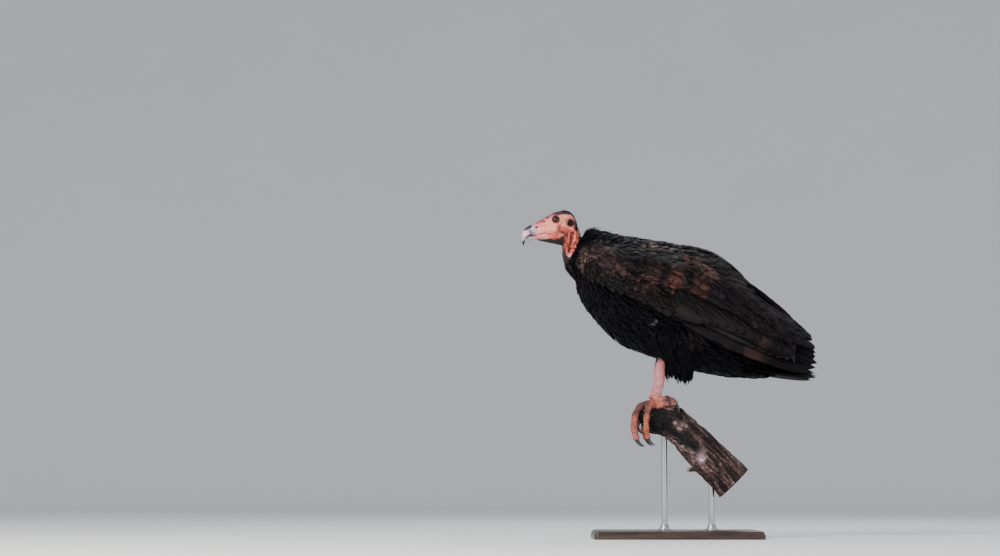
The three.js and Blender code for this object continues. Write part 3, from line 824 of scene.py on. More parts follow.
@dataclass(frozen=True)
class Tint:
    """A vane's colours: a pattern over the bird for its own colour, and a fringe."""

    pattern: Callable[[Array], Array]
    fringe: Colour = (0.05, 0.038, 0.034)
    share: float = 0.25
    vary: float = 0.18
    along: bool = False
    fresh: float = 0.0

    def spread(self, place: Array, s: Array, across: Array, draw: np.random.Generator) -> Array:
        """Colours (vane, station, column, 3) from the pattern at places (vane, one or each station, 3)."""
        count = len(place)
        own = self.pattern(place) * (1 + self.vary * draw.standard_normal((count, 1, 1))).clip(0.4, 1.8)
        own = own * np.where(draw.random((count, 1, 1)) < self.fresh, 0.42, 1.0)
        # painted shade: each vane is darker towards its root, where the vane over it would shade it
        shade = 0.7 + 0.3 * ease(s, 0.1, 0.55)
        edge = np.maximum(ease(np.abs(across), 0.55, 1.0)[None, :] * ease(s, 0.3, 0.8)[:, None],
                          ease(s, 0.88, 1.0)[:, None])
        worn = self.share * draw.uniform(0.2, 1.6, (count, 1, 1)) * edge[None]
        colour = own[:, :, None, :] * shade[None, :, None, None]
        return colour + (np.array(self.fringe) - colour) * worn.clip(0, 1)[..., None]


class Coat:
    """One piece of the coat: closed vanes laid over the body's surfaces and joined in one mesh."""

    def __init__(self, name: str, finish: Finish, seed: int) -> None:
        """Starts an empty piece.

        Args:
            name: the piece's name.
            finish: its finish.
            seed: where its own random draws start.
        """
        self.name = name
        self.finish = finish
        self.draw = np.random.default_rng(seed)
        self.batches: list[dict[str, Array]] = []

    def vary(self, u: Array, spread: Array | float) -> Array:
        """A random amount for each root, about as far from 0 as spread."""
        return self.draw.normal(0, spread, len(u))

    def within(self, u: Array, low: float, high: float) -> Array:
        """An even random amount for each root, from low to high."""
        return self.draw.uniform(low, high, len(u))

    def rows(self, surface: Surface, u_span: tuple[float, float], v_span: tuple[float, float],
             pitch: tuple[float, float], stray: float = 0.3) -> tuple[Array, Array]:
        """Places for roots in rows across a surface, each row half a step off the last.

        Args:
            surface: what they lie on.
            u_span: where the first and last rows are.
            v_span: where each row starts and ends.
            pitch: the distance between roots at the first row and at the last, in millimetres.
            stray: how far a root strays from its place, as a share of the pitch.

        Returns:
            The places' u and v.
        """
        fine = np.linspace(*u_span, 200)
        middle = surface.at(fine, np.full(200, sum(v_span) / 2))
        pitches = np.linspace(*pitch, 200)
        run = np.concatenate([[0], np.cumsum(np.linalg.norm(np.diff(middle, axis=0), axis=1) / pitches[1:])])
        levels = np.interp(np.arange(0, run[-1], 0.86), run, fine)
        all_u, all_v = [], []
        for i, u in enumerate(levels):
            v = np.linspace(*v_span, 80)
            line = surface.at(np.full(80, u), v)
            width = np.concatenate([[0], np.cumsum(np.linalg.norm(np.diff(line, axis=0), axis=1))])
            step = float(np.interp(u, fine, pitches))
            places_on = np.arange(0.5 * (i % 2) * step, width[-1] + step / 2, step)
            places_on = places_on + self.draw.uniform(-stray, stray, len(places_on)) * step
            all_v.append(np.interp(places_on, width, v))
            all_u.append(u + self.draw.uniform(-stray, stray, len(places_on)) * step * (fine[1] - fine[0])
                         / max(1e-6, float(np.linalg.norm(middle[1] - middle[0]))))
        return np.concatenate(all_u), np.concatenate(all_v)

    def add(self, surface: Surface, u: Array, v: Array, length: Array | float, width: Array | float, cut: Cut,
            tint: Tint, heading: Array | float = 0.0, sink: Array | float = 6.0, rise: Array | float = 0.0,
            roll: Array | float = 0.0, bend: Array | float = 0.0, lift: float = 0.85,
            tilt: Array | float = 0.0) -> None:
        """Lays vanes: each goes step by step over the surface from its root, and climbs as it goes.

        Args:
            surface: what they lie on.
            u: each root's place along the surface.
            v: each root's place across it.
            length: the vanes' lengths.
            width: their widths.
            cut: how they are cut.
            tint: their colours.
            heading: the angle from the way u runs towards v, in radians.
            sink: how deep the root lies below the surface.
            rise: how high the tip stands above it.
            roll: the lean of the vane to one side, in radians.
            bend: how far the heading turns from root to tip.
            lift: the power of the climb, 1 for an even one.
            tilt: extra height at the tip that grows as a square, for vanes that stand off.
        """
        count = len(u)
        length, width, heading, sink, rise, roll, bend, tilt = (
            np.broadcast_to(np.asarray(amount, float), (count,))
            for amount in (length, width, heading, sink, rise, roll, bend, tilt))
        s = np.concatenate([[0], np.linspace(0.05, 0.96, cut.stations), [1]])
        place_u, place_v = np.array(u, float), np.array(v, float)
        spine, normals = [], []
        for k, station in enumerate(s):
            here, along, across, normal = surface.lie(place_u, place_v)
            spine.append(here)
            normals.append(normal)
            if k == len(s) - 1:
                break
            e1 = unit(along)
            e2 = unit(across - e1 * np.sum(across * e1, -1, keepdims=True))
            angle = (heading + bend * station)[:, None]
            go = (e1 * np.cos(angle) + e2 * np.sin(angle)) * (length * (s[k + 1] - station))[:, None]
            aa, bb, ab = (np.sum(p * q, -1) for p, q in ((along, along), (across, across), (along, across)))
            ga, gb = np.sum(go * along, -1), np.sum(go * across, -1)
            area = np.maximum(aa * bb - ab * ab, 1e-9)
            place_u = place_u + (ga * bb - gb * ab) / area
            place_v = place_v + (gb * aa - ga * ab) / area
        spine, normals = np.stack(spine, 1), np.stack(normals, 1)
        climb = -sink[:, None] + (sink + rise)[:, None] * s[None] ** lift + tilt[:, None] * s[None] ** 2
        spine = spine + normals * climb[..., None]
        forward = unit(np.gradient(spine, axis=1))
        beside = unit(np.cross(normals, forward))
        top = unit(np.cross(forward, beside))

        c = np.linspace(-1, 1, cut.columns)
        ring_s = s[1:-1]
        half = rail(cut.outline, ring_s)[None] * width[:, None] / 2
        wobble = 1 + cut.ragged * self.draw.standard_normal((count, cut.stations, 2)).clip(-2, 2)
        frayed = np.where(c[None, None] < 0, wobble[..., :1], wobble[..., 1:])
        nicks = (self.draw.random((count, cut.stations, 2)) < 0.1) * cut.notch
        frayed = frayed * (1 - np.where(c[None, None] < 0, nicks[..., :1], nicks[..., 1:]) * np.abs(c))
        x = c[None, None] * half[..., None] * frayed
        height = -cut.camber * half[..., None] * c[None, None] ** 2 + np.tan(roll)[:, None, None] * x
        height = height + cut.shaft * bell(c / 0.18)[None, None]
        inner = slice(1, -1)
        ring = (spine[:, inner, None] + beside[:, inner, None] * x[..., None]
                + top[:, inner, None] * height[..., None])
        under = spine[:, inner] - top[:, inner] * cut.thickness
        rings = np.concatenate([ring, under[:, :, None]], 2)
        points = np.concatenate([rings.reshape(count, -1, 3), spine[:, :1], spine[:, -1:]], 1)

        column = np.append(c, 0.0)
        main = np.argmin(np.abs(s - 0.75))
        one = spine[:, main][:, None]
        colours = tint.spread(spine[:, 1:-1] if tint.along else one, ring_s, column, self.draw)
        ends = tint.spread(spine[:, [0, -1]] if tint.along else one, s[[0, -1]], np.zeros(1), self.draw)[:, :, 0]
        whole = np.concatenate([colours.reshape(count, -1, 3), ends], 1)
        off = np.abs(np.tile(column, cut.stations))
        alpha = np.broadcast_to(np.append(off, [0, 0]), whole.shape[:2])
        x_all = np.concatenate([np.concatenate([x, np.zeros((count, cut.stations, 1))], 2).reshape(count, -1),
                                np.zeros((count, 2))], 1)
        s_all = np.append(np.repeat(ring_s, cut.columns + 1), [0, 1])
        vane = np.stack([x_all / 10, s_all[None] * length[:, None] / 10], -1)
        patch = PATCH * np.stack([np.append(np.tile(column, cut.stations), [0, 0]) / 2, s_all - 0.5], -1)
        bake = surface.on_chart(np.asarray(u), np.asarray(v))[:, None] + patch[None]
        self.batches.append({"points": points, "tint": whole, "alpha": alpha, "vane": vane, "bake": bake,
                             "faces": self.faces(cut.stations, cut.columns + 1)})

    @staticmethod
    def faces(stations: int, around: int) -> tuple[Array, Array]:
        """Quads and triangles of one vane: rings of points, then its root and its tip."""
        at = np.arange(stations * around).reshape(stations, around)
        on = np.roll(at, -1, axis=1)
        quads = np.stack([at[:-1], at[1:], on[1:], on[:-1]], -1).reshape(-1, 4)
        root = np.full(around, stations * around)
        tris = np.vstack([np.stack([root, at[0], on[0]], -1), np.stack([root + 1, on[-1], at[-1]], -1)])
        return quads, tris

    def build(self, finishes: Finishes) -> Object:
        """Joins all the vanes in one object with their colours and maps."""
        points, quads, tris, start = [], [], [], 0
        for batch in self.batches:
            count, each = batch["points"].shape[:2]
            firsts = start + np.arange(count)[:, None, None] * each
            points.append(batch["points"].reshape(-1, 3))
            quads.append((batch["faces"][0][None] + firsts).reshape(-1, 4))
            tris.append((batch["faces"][1][None] + firsts).reshape(-1, 3))
            start += count * each
        shell = Shell(np.vstack(points), np.vstack(quads), np.vstack(tris))
        if shell.volume() < 0:
            shell = shell.turned()
        item = add_object(self.name, shell, finishes[self.finish])
        paint(item, "Tint", *(np.concatenate([b[key].reshape((-1,) + b[key].shape[2:]) for b in self.batches])
                              for key in ("tint", "alpha")))
        for name, key in (("Vane", "vane"), ("OFBake", "bake")):
            unwrap(item, name, np.concatenate([b[key].reshape(-1, 2) for b in self.batches]))
        LOG.info("%s: %d vanes, %d triangles", self.name, sum(len(b["points"]) for b in self.batches),
                 2 * len(shell.quads) + len(shell.tris))
        return item


# ---------- markings ----------
@dataclass(frozen=True)
class Mark:
    """A patch of colour on both sides of the bird: an oval in side view, with a ragged edge."""

    x: float
    z: float
    reach_x: float
    reach_z: float
    colour: Colour
    share: float = 0.85
    lean: float = 0.0
    ragged: float = 0.35

    def weight(self, place: Array) -> Array:
        """How strong the patch is at each point, 0 to 1: it falls off across an uneven rim."""
        dx, dz = place[..., 0] - self.x, place[..., 2] - self.z
        a = (dx * math.cos(self.lean) + dz * math.sin(self.lean)) / self.reach_x
        b = (dz * math.cos(self.lean) - dx * math.sin(self.lean)) / self.reach_z
        size = min(self.reach_x, self.reach_z)
        uneven = self.ragged * cloud(place, max(2.0, size * 0.7), int(abs(self.x) + abs(self.z)), 3)
        return self.share * ease(1.25 - np.hypot(a, b) + uneven, 0, 0.45)


def marked(place: Array, base: Array | Colour, marks: Sequence[Mark]) -> Array:
    """The base colours with each mark laid over them in turn."""
    colour = np.broadcast_to(np.asarray(base, float), place.shape).copy()
    for mark in marks:
        colour += (np.array(mark.colour) - colour) * mark.weight(place)[..., None]
    return colour


@dataclass(frozen=True)
class Markings:
    """The colours of skin and coat, linear, by place on the bird."""

    black: Colour = (0.003, 0.0032, 0.005)
    soot: Colour = (0.0048, 0.0042, 0.0052)
    brown: Colour = (0.0135, 0.009, 0.0092)
    flight: Colour = (0.012, 0.0096, 0.0102)

    def wing_marks(self) -> tuple[Mark, ...]:
        """The worn and pale patches of the folded wing."""
        return (
            Mark(-135, 583, 105, 27, (0.0062, 0.0056, 0.0066), 0.88, -0.42, 0.5),
            Mark(-176, 668, 36, 26, (0.046, 0.028, 0.028), 0.8),
            Mark(-204, 670, 17, 15, (0.08, 0.052, 0.052), 0.6, ragged=0.6),
            Mark(-224, 660, 9, 30, (0.125, 0.088, 0.084), 0.75, -0.2),
            Mark(-150, 706, 32, 8, (0.12, 0.108, 0.104), 0.5, ragged=0.9),
            Mark(-50, 697, 42, 8, (0.165, 0.105, 0.082), 0.75, -0.15, 0.8),
            Mark(-130, 627, 30, 14, (0.05, 0.027, 0.024), 0.75, ragged=0.6),
            Mark(-70, 607, 24, 19, (0.062, 0.03, 0.026), 0.7, ragged=0.8),
            Mark(-5, 607, 20, 24, (0.088, 0.034, 0.029), 0.85, ragged=0.8),
            Mark(-4, 650, 12, 14, (0.064, 0.054, 0.051), 0.6),
            Mark(38, 658, 22, 12, (0.075, 0.032, 0.028), 0.8, ragged=0.8),
            Mark(50, 596, 16, 22, (0.078, 0.033, 0.027), 0.8, 0.4, 0.8),
            Mark(78, 626, 21, 16, (0.12, 0.066, 0.054), 0.8, ragged=0.8),
            Mark(146, 606, 22, 22, (0.04, 0.026, 0.023), 0.6),
            Mark(198, 449, 36, 22, (0.042, 0.021, 0.02), 0.75))

    def wing(self, place: Array) -> Array:
        """The wing coverts and scapulars."""
        base = np.array(self.black) + (np.array(self.brown) - self.black) * (
            0.55 + 0.45 * noise(place, 60, 3)[..., None].clip(-1, 1)) * ease(720 - place[..., 2], 0, 60)[..., None]
        return marked(place, base, self.wing_marks())

    def quills(self, place: Array) -> Array:
        """The flight feathers, browner and smoother than the coverts, and near black towards the tail."""
        dark = ease(place[..., 0] + 0.4 * (560 - place[..., 2]), 110, 300)[..., None]
        base = np.array(self.flight) * (1 - dark) + np.array(self.soot) * dark
        return marked(place, base, self.wing_marks()[-1:])

    def body(self, place: Array) -> Array:
        """The breast, belly, back and legs."""
        base = np.array(self.black) * (1 + 0.35 * noise(place, 45, 5)[..., None])
        return marked(place, base, (
            Mark(-61, 507, 6, 10, (0.1, 0.088, 0.09), 0.8), Mark(-60, 482, 6, 22, (0.018, 0.016, 0.018), 0.6),
            Mark(40, 472, 20, 26, (0.026, 0.02, 0.021), 0.5), Mark(-235, 600, 14, 20, (0.018, 0.013, 0.014), 0.4)))


# ---------- the feather tracts ----------
BODY_CUT = Cut()
SOFT_CUT = Cut(outline=(0.3, 0.75, 0.95, 0.75, 0.42, 0.12), ragged=0.22, thickness=0.4)
LANCE_CUT = Cut(outline=(0.35, 0.85, 1.0, 0.75, 0.45, 0.12), stations=6, ragged=0.12)
COVERT_CUT = Cut(outline=(0.3, 0.75, 1.0, 0.98, 0.84, 0.42), columns=5, stations=8, camber=0.12, ragged=0.09,
                 notch=0.25, shaft=0.2, thickness=0.4)
LONG_CUT = Cut(outline=(0.3, 0.62, 0.88, 1.0, 0.93, 0.68, 0.15), columns=5, stations=14, camber=0.03, ragged=0.04,
               notch=0.2, shaft=0.3, thickness=0.3)
QUILL_CUT = Cut(outline=(0.3, 0.62, 0.85, 0.97, 1.0, 0.97, 0.86, 0.64, 0.22), columns=7, stations=26, camber=0.04,
                ragged=0.025, notch=0.18, shaft=0.5, thickness=0.35)
PRIMARY_CUT = Cut(outline=(0.35, 0.6, 0.8, 0.9, 1.0, 0.95, 0.8, 0.62, 0.3), columns=7, stations=36, camber=0.1,
                  ragged=0.03, notch=0.22, shaft=0.6, thickness=0.8)
BRISTLE_CUT = Cut(outline=(1.0, 0.7, 0.3), columns=2, stations=2, camber=0.0, ragged=0.0, thickness=0.3)

COLLAR = Ribbed(
    top=[[-233, 690], [-229, 716], [-214, 735], [-196, 741], [-178, 737]],
    bottom=[[-266, 676], [-264, 662], [-259, 648], [-250, 632], [-240, 616]],
    half_width=[21, 27, 34, 43, 53])


@dataclass
class Plumage:
    """Every tract of feathers, in the order they lie, with their lengths in millimetres."""

    finishes: Finishes
    marks: Markings = field(default_factory=Markings)
    trunk_charts: tuple = ((0.0, 0.0, 0.24, 0.46), (0.25, 0.0, 0.24, 0.46))
    wing_charts: tuple = (0.51, 0.75)

    def __post_init__(self) -> None:
        """Lays out the surfaces of both sides."""
        self.flanks = {s: Flank(TRUNK, s, self.trunk_charts[s > 0]) for s in (-1, 1)}
        self.wings = {s: wing_face(s, self.wing_charts[s > 0]) for s in (-1, 1)}
        self.hands = {s: hand_face(s, self.wing_charts[s > 0]) for s in (-1, 1)}
        self.thighs = {s: Flank(THIGH, s, (0.0 if s < 0 else 0.13, 0.48, 0.12, 0.24), 2.0) for s in (-1, 1)}
        self.collar = {s: Flank(COLLAR, s, (0.27 if s < 0 else 0.34, 0.48, 0.06, 0.16)) for s in (-1, 1)}
        self.necks = {s: Flank(NECK, s, (0.27 if s < 0 else 0.34, 0.66, 0.06, 0.12)) for s in (-1, 1)}

    def breast(self, side: int, word: str) -> Coat:
        """The breast, belly and flanks of one side: short and close in front, longer behind."""
        coat = Coat(f"breast_{word}", Finish.PLUMAGE, 11 + side)
        flank = self.flanks[side]
        tint = Tint(self.marks.body, (0.0085, 0.008, 0.0095), 0.25)
        u, v = coat.rows(flank, (0.0, 0.93), (0.3, 1.0), (8.2, 11.5))
        length = 30 + 26 * ease(u, 0, 0.4) + coat.vary(u, 3)
        coat.add(flank, u, v, length, 14 + 6 * u, BODY_CUT, tint, heading=coat.vary(u, 0.12),
                 sink=8, rise=coat.within(u, -1.5, 1.2), roll=coat.vary(u, 0.12))
        return coat

    def back(self) -> Coat:
        """The back between the wings, from the ruff to the rump."""
        coat = Coat("back", Finish.PLUMAGE, 21)
        tint = Tint(self.marks.body, (0.011, 0.009, 0.01), 0.25)
        for flank in self.flanks.values():
            u, v = coat.rows(flank, (0.01, 0.9), (0.0, 0.3), (12, 15))
            length = 46 + 26 * ease(u, 0.1, 0.5) + coat.vary(u, 4)
            coat.add(flank, u, v, length, 25 + coat.vary(u, 1.5), COVERT_CUT, tint,
                     heading=coat.vary(u, 0.1), sink=8,
                     rise=coat.within(u, -0.5, 2.0), roll=coat.vary(u, 0.1))
        return coat

    def ruff(self) -> Coat:
        """The ruff and crop: narrow plumes round the base of the neck, some standing up behind it."""
        coat = Coat("ruff", Finish.PLUMAGE, 31)
        tint = Tint(self.marks.body, (0.011, 0.009, 0.01), 0.25)
        for collar in self.collar.values():
            u, v = coat.rows(collar, (0.0, 0.95), (0.0, 1.0), (6.5, 8.0))
            stand = 1 - ease(v, 0.05, 0.55)
            coat.add(collar, u, v, 26 + 12 * u + coat.vary(u, 3), 8.5, LANCE_CUT, tint,
                     heading=coat.vary(u, 0.2), sink=6,
                     rise=0.5 + coat.within(u, 0, 1.5),
                     tilt=stand * coat.within(u, 0, 7) * (u < 0.6), roll=coat.vary(u, 0.2))
        for neck in self.necks.values():
            u, v = coat.rows(neck, (0.45, 1.0), (0.0, 1.0), (4.6, 6.0))
            keep = coat.draw.random(len(u)) < ease(u, 0.38, 0.62)
            u, v = u[keep], v[keep]
            coat.add(neck, u, v, 22 + coat.vary(u, 2.5), 6.5, LANCE_CUT, tint, heading=coat.vary(u, 0.2), sink=3,
                     rise=1 + coat.within(u, 0, 3), roll=coat.vary(u, 0.2))
        return coat

    def thigh(self, side: int, word: str) -> Coat:
        """The loose trousers of one leg, ragged where they end."""
        coat = Coat(f"trousers_{word}", Finish.PLUMAGE, 41 + side)
        thigh = self.thighs[side]
        tint = Tint(self.marks.body, (0.011, 0.01, 0.011), 0.25, 0.25)
        u, v = coat.rows(thigh, (-0.05, 0.84), (0.0, 2.0), (7.5, 6.0))
        loose = ease(u, 0.45, 0.85)
        length = 42 - 15 * loose + coat.vary(u, 1) * (4 + 2 * loose)
        coat.add(thigh, u, v, length, 10.5 - 2.5 * loose, SOFT_CUT, tint,
                 heading=coat.vary(u, 0.16 + 0.14 * loose), sink=7,
                 rise=coat.within(u, -2, 1.5) + 1.5 * loose, roll=coat.vary(u, 0.25),
                 bend=coat.vary(u, 0.18))
        return coat

    def coverts(self, side: int, word: str) -> Coat:
        """The coverts of one wing, from the small ones at the wrist to the greater row, and the scapulars."""
        coat = Coat(f"coverts_{word}", Finish.FLIGHT, 51 + side)
        wing, draw = self.wings[side], coat.draw
        tint = Tint(self.marks.wing, (0.036, 0.024, 0.021), 0.22, 0.25, True, 0.3)
        plain = Tint(self.marks.wing, (0.018, 0.013, 0.012), 0.12, 0.1, True, 0.1)
        dark = Tint(self.marks.wing, (0.014, 0.01, 0.01), 0.18, 0.25, True, 0.2)
        # the greater row over the secondaries, then the primaries' own coverts under the wrist
        for low, size, wide, count in ((0.53, 188, 37, 15), (0.475, 150, 35, 15)):
            u = np.linspace(0.05, 0.64, count) + draw.normal(0, 0.004, count)
            v = low - 0.1 * u + draw.normal(0, 0.008, count)
            coat.add(wing, u, v, size - 40 * u + draw.normal(0, 6, count), wide, LONG_CUT, plain,
                     heading=0.1 + draw.normal(0, 0.02, count), sink=8, rise=draw.uniform(-0.9, -0.3, count),
                     roll=-0.04 * side, bend=-0.12)
        for start, low, size in ((0.02, 0.84, 104), (0.05, 0.93, 92), (0.0, 0.76, 80)):
            u = start + np.linspace(0, 0.3, 12)
            coat.add(wing, u, low + 0.02 * draw.standard_normal(12), size + draw.normal(0, 5, 12), 22, LONG_CUT,
                     plain, heading=0.04, sink=7, rise=-1.0, roll=-0.08 * side)
        # median and lesser rows
        for v_row, size, wide in ((0.4, 84, 31), (0.34, 68, 29), (0.28, 58, 27)):
            u = np.linspace(0.07, 0.66, 28) + draw.normal(0, 0.008, 28)
            v = v_row - 0.1 * u + draw.normal(0, 0.02, 28)
            coat.add(wing, u, v, size + draw.normal(0, 7, 28), wide + draw.normal(0, 2, 28), COVERT_CUT, tint,
                     heading=0.24 + draw.normal(0, 0.08, 28), sink=7, rise=draw.uniform(-0.3, 1.4, 28),
                     roll=draw.normal(-0.08 * side, 0.07, 28), bend=draw.normal(0, 0.08, 28))
        u, v = coat.rows(wing, (0.045, 0.62), (-0.02, 0.34), (13.5, 20))
        coat.add(wing, u, v, 36 + 26 * ease(u, 0.1, 0.5) + coat.vary(u, 4), 21 + 6 * u, COVERT_CUT, tint,
                 heading=0.14 + coat.vary(u, 0.12), sink=6, rise=coat.within(u, -0.3, 1.7),
                 roll=coat.vary(u, 0.1), bend=coat.vary(u, 0.1))
        # the wrist and the front edge, scaled with the smallest coverts
        small = Cut(outline=(0.4, 0.9, 1.0, 0.95, 0.6), stations=4, ragged=0.08, camber=0.16)
        u, v = coat.rows(wing, (-0.035, 0.12), (-0.03, 1.06), (6.0, 9.5))
        coat.add(wing, u, v, 15 + 80 * np.maximum(u, 0) + coat.vary(u, 1.5), 10.5 + 40 * np.maximum(u, 0),
                 small, tint, heading=0.05 + coat.vary(u, 0.1), sink=4.5, rise=coat.within(u, -0.2, 0.9))
        u, v = coat.rows(wing, (0.08, 0.4), (0.56, 0.97), (10.0, 14.0))
        coat.add(wing, u, v, 26 + 30 * u + coat.vary(u, 2), 16, small, tint,
                 heading=0.1 + coat.vary(u, 0.08), sink=5, rise=coat.within(u, -0.5, 0.6))
        # scapulars over the wing's upper edge
        for u_span, v_span, pitch, size in (((0.1, 0.52), (-0.22, 0.16), (20, 25), 80),
                                            ((0.44, 0.84), (-0.16, 0.34), (24, 22), 58)):
            u, v = coat.rows(wing, u_span, v_span, pitch)
            coat.add(wing, u, v, size + 30 * u + coat.vary(u, 8), 34 + coat.vary(u, 2.5), COVERT_CUT,
                     dark, heading=0.1 + coat.vary(u, 0.09), sink=8, rise=coat.within(u, 0.3, 1.6),
                     roll=coat.vary(u, 0.05), bend=coat.vary(u, 0.06))
        return coat

    def quills(self, side: int, word: str) -> Coat:
        """The flight feathers of one wing: primaries deepest, then secondaries, then the long inner ones."""
        coat = Coat(f"quills_{word}", Finish.FLIGHT, 71 + side)
        wing, hand, draw = self.wings[side], self.hands[side], coat.draw
        tint = Tint(self.marks.quills, (0.024, 0.018, 0.017), 0.1, 0.08, True)
        order = np.arange(10)
        coat.add(hand, 0.02 + 0.012 * order, 0.95 - 0.1 * order, 418 - 9 * order + draw.normal(0, 7, 10),
                 42, PRIMARY_CUT, tint, heading=0.004 * order, sink=2.0 + 0.9 * order,
                 rise=-1.0 - 0.9 * order + draw.normal(0, 0.5, 10), roll=-0.05 * side, lift=1.0)
        u = np.linspace(0.06, 0.6, 18)
        coat.add(wing, u, 0.7 - 0.16 * u, 335 - 200 * u + draw.normal(0, 5, 18), 54, QUILL_CUT, tint,
                 heading=0.14 - 0.03 * u, sink=11, rise=-2.5 + draw.normal(0, 0.25, 18), roll=-0.04 * side,
                 bend=-0.1)
        # the long inner feathers, and the shorter ones that lie over them
        inner = Tint(self.marks.wing, (0.04, 0.028, 0.024), 0.3, 0.15, True)
        u, v = np.linspace(0.4, 0.66, 9), np.linspace(0.42, -0.02, 9)
        coat.add(wing, u, v, 212 - 90 * (u - 0.4) + draw.normal(0, 6, 9), 56, QUILL_CUT, inner,
                 heading=0.1 - 0.1 * (0.4 - v), sink=8, rise=-0.5 + draw.normal(0, 0.6, 9),
                 roll=-0.04 * side, bend=-0.05)
        u = np.linspace(0.5, 0.8, 11)
        coat.add(wing, u, np.linspace(0.3, 0.02, 11) + draw.normal(0, 0.02, 11), 120 + draw.normal(0, 9, 11), 42,
                 LONG_CUT, replace(inner, share=0.35), heading=0.05,
                 sink=6, rise=0.6 + draw.normal(0, 0.5, 11), roll=-0.05 * side)
        return coat

    def tail(self) -> Coat:
        """Twelve worn tail feathers and the coverts over and under their roots."""
        coat = Coat("tail_feathers", Finish.FLIGHT, 91)
        fan, draw = Fan(), coat.draw
        tint = Tint(self.marks.quills, (0.03, 0.022, 0.02), 0.25, 0.1, True)
        off = (np.arange(12) - 5.5) / 5.5
        coat.add(fan, np.full(12, -0.05), 0.5 + 0.43 * off, 218 + draw.normal(0, 4, 12), 40, QUILL_CUT, tint,
                 sink=6 + 4 * np.abs(off), rise=-1 - 3 * np.abs(off), lift=1.0)
        cover = Tint(self.marks.body, (0.018, 0.014, 0.014), 0.3)
        for u_row, size in ((0.0, 70), (0.12, 60), (0.22, 48)):
            v = 0.5 + 0.34 * np.linspace(-1, 1, 11) + draw.normal(0, 0.02, 11)
            # over the roots, then under them
            for back, more, sink, height, way in ((0.12, 14, 4, 3, 1), (0.1, 22, 10, -14, -1)):
                coat.add(fan, u_row - back + draw.normal(0, 0.02, 11), v, size + more, 26, COVERT_CUT, cover,
                         heading=draw.normal(0, 0.05, 11), sink=sink, rise=height + way * draw.uniform(0, 2, 11))
        return coat

    def build(self) -> None:
        """Builds and dresses every tract."""
        for word, side in SIDES.items():
            dress(self.breast(side, word).build(self.finishes), "plumage")
            dress(self.thigh(side, word).build(self.finishes), "plumage")
            dress(self.coverts(side, word).build(self.finishes), "coverts")
            dress(self.quills(side, word).build(self.finishes), "flight", f"primaries_{word}")
        dress(self.back().build(self.finishes), "plumage")
        dress(self.ruff().build(self.finishes), "plumage")
        dress(self.tail().build(self.finishes), "flight", "tail")


# ---------- the skin ----------
def tube(path: Points, radius: Callable[[Array], Array] | float, count: int = 40, around: int = 18,
         flat: float = 1.0) -> Shell:
    """A closed tube along a smooth path: at each place a ring of the given radius, flatter across it.

    Args:
        path: the points that it runs through.
        radius: its radius, or a function of the place along it from 0 to 1.
        count: how many rings it has.
        around: how many points each ring has.
        flat: its width along Y as a share of its height.

    Returns:
        The tube.
    """
    t = np.linspace(0, 1, count)
    centre = rail(path, t)
    forward = unit(np.gradient(centre, axis=0))
    aside = unit(np.array([0.0, 1.0, 0.0]) - forward * forward[:, 1:2])
    up = np.cross(forward, aside)
    r = radius(t) if callable(radius) else np.full(count, float(radius))
    turn = turns(around)
    ring = (aside[:, None] * np.cos(turn)[None, :, None] * flat + up[:, None] * np.sin(turn)[None, :, None])
    return Shell.loft(centre[:, None] + ring * r[:, None, None])


@dataclass(frozen=True)
class Fold:
    """A raised fold or a sunk crease of skin along a line in side view: (x, z) points, width and height."""

    line: Points
    width: float
    height: float

    def lift(self, place: Array) -> Array:
        """How far the skin moves out: the height under a bell across the line, fading at its ends."""
        t = np.linspace(0, 1, 36)
        run = rail(self.line, t)
        gap = np.hypot(place[:, None, 0] - run[None, :, 0], place[:, None, 2] - run[None, :, 1])
        nearest = gap.argmin(1)
        fade = ease(t[nearest], -0.05, 0.18) * ease(1 - t[nearest], -0.05, 0.18)
        return self.height * bell(gap[np.arange(len(place)), nearest] / self.width) * fade


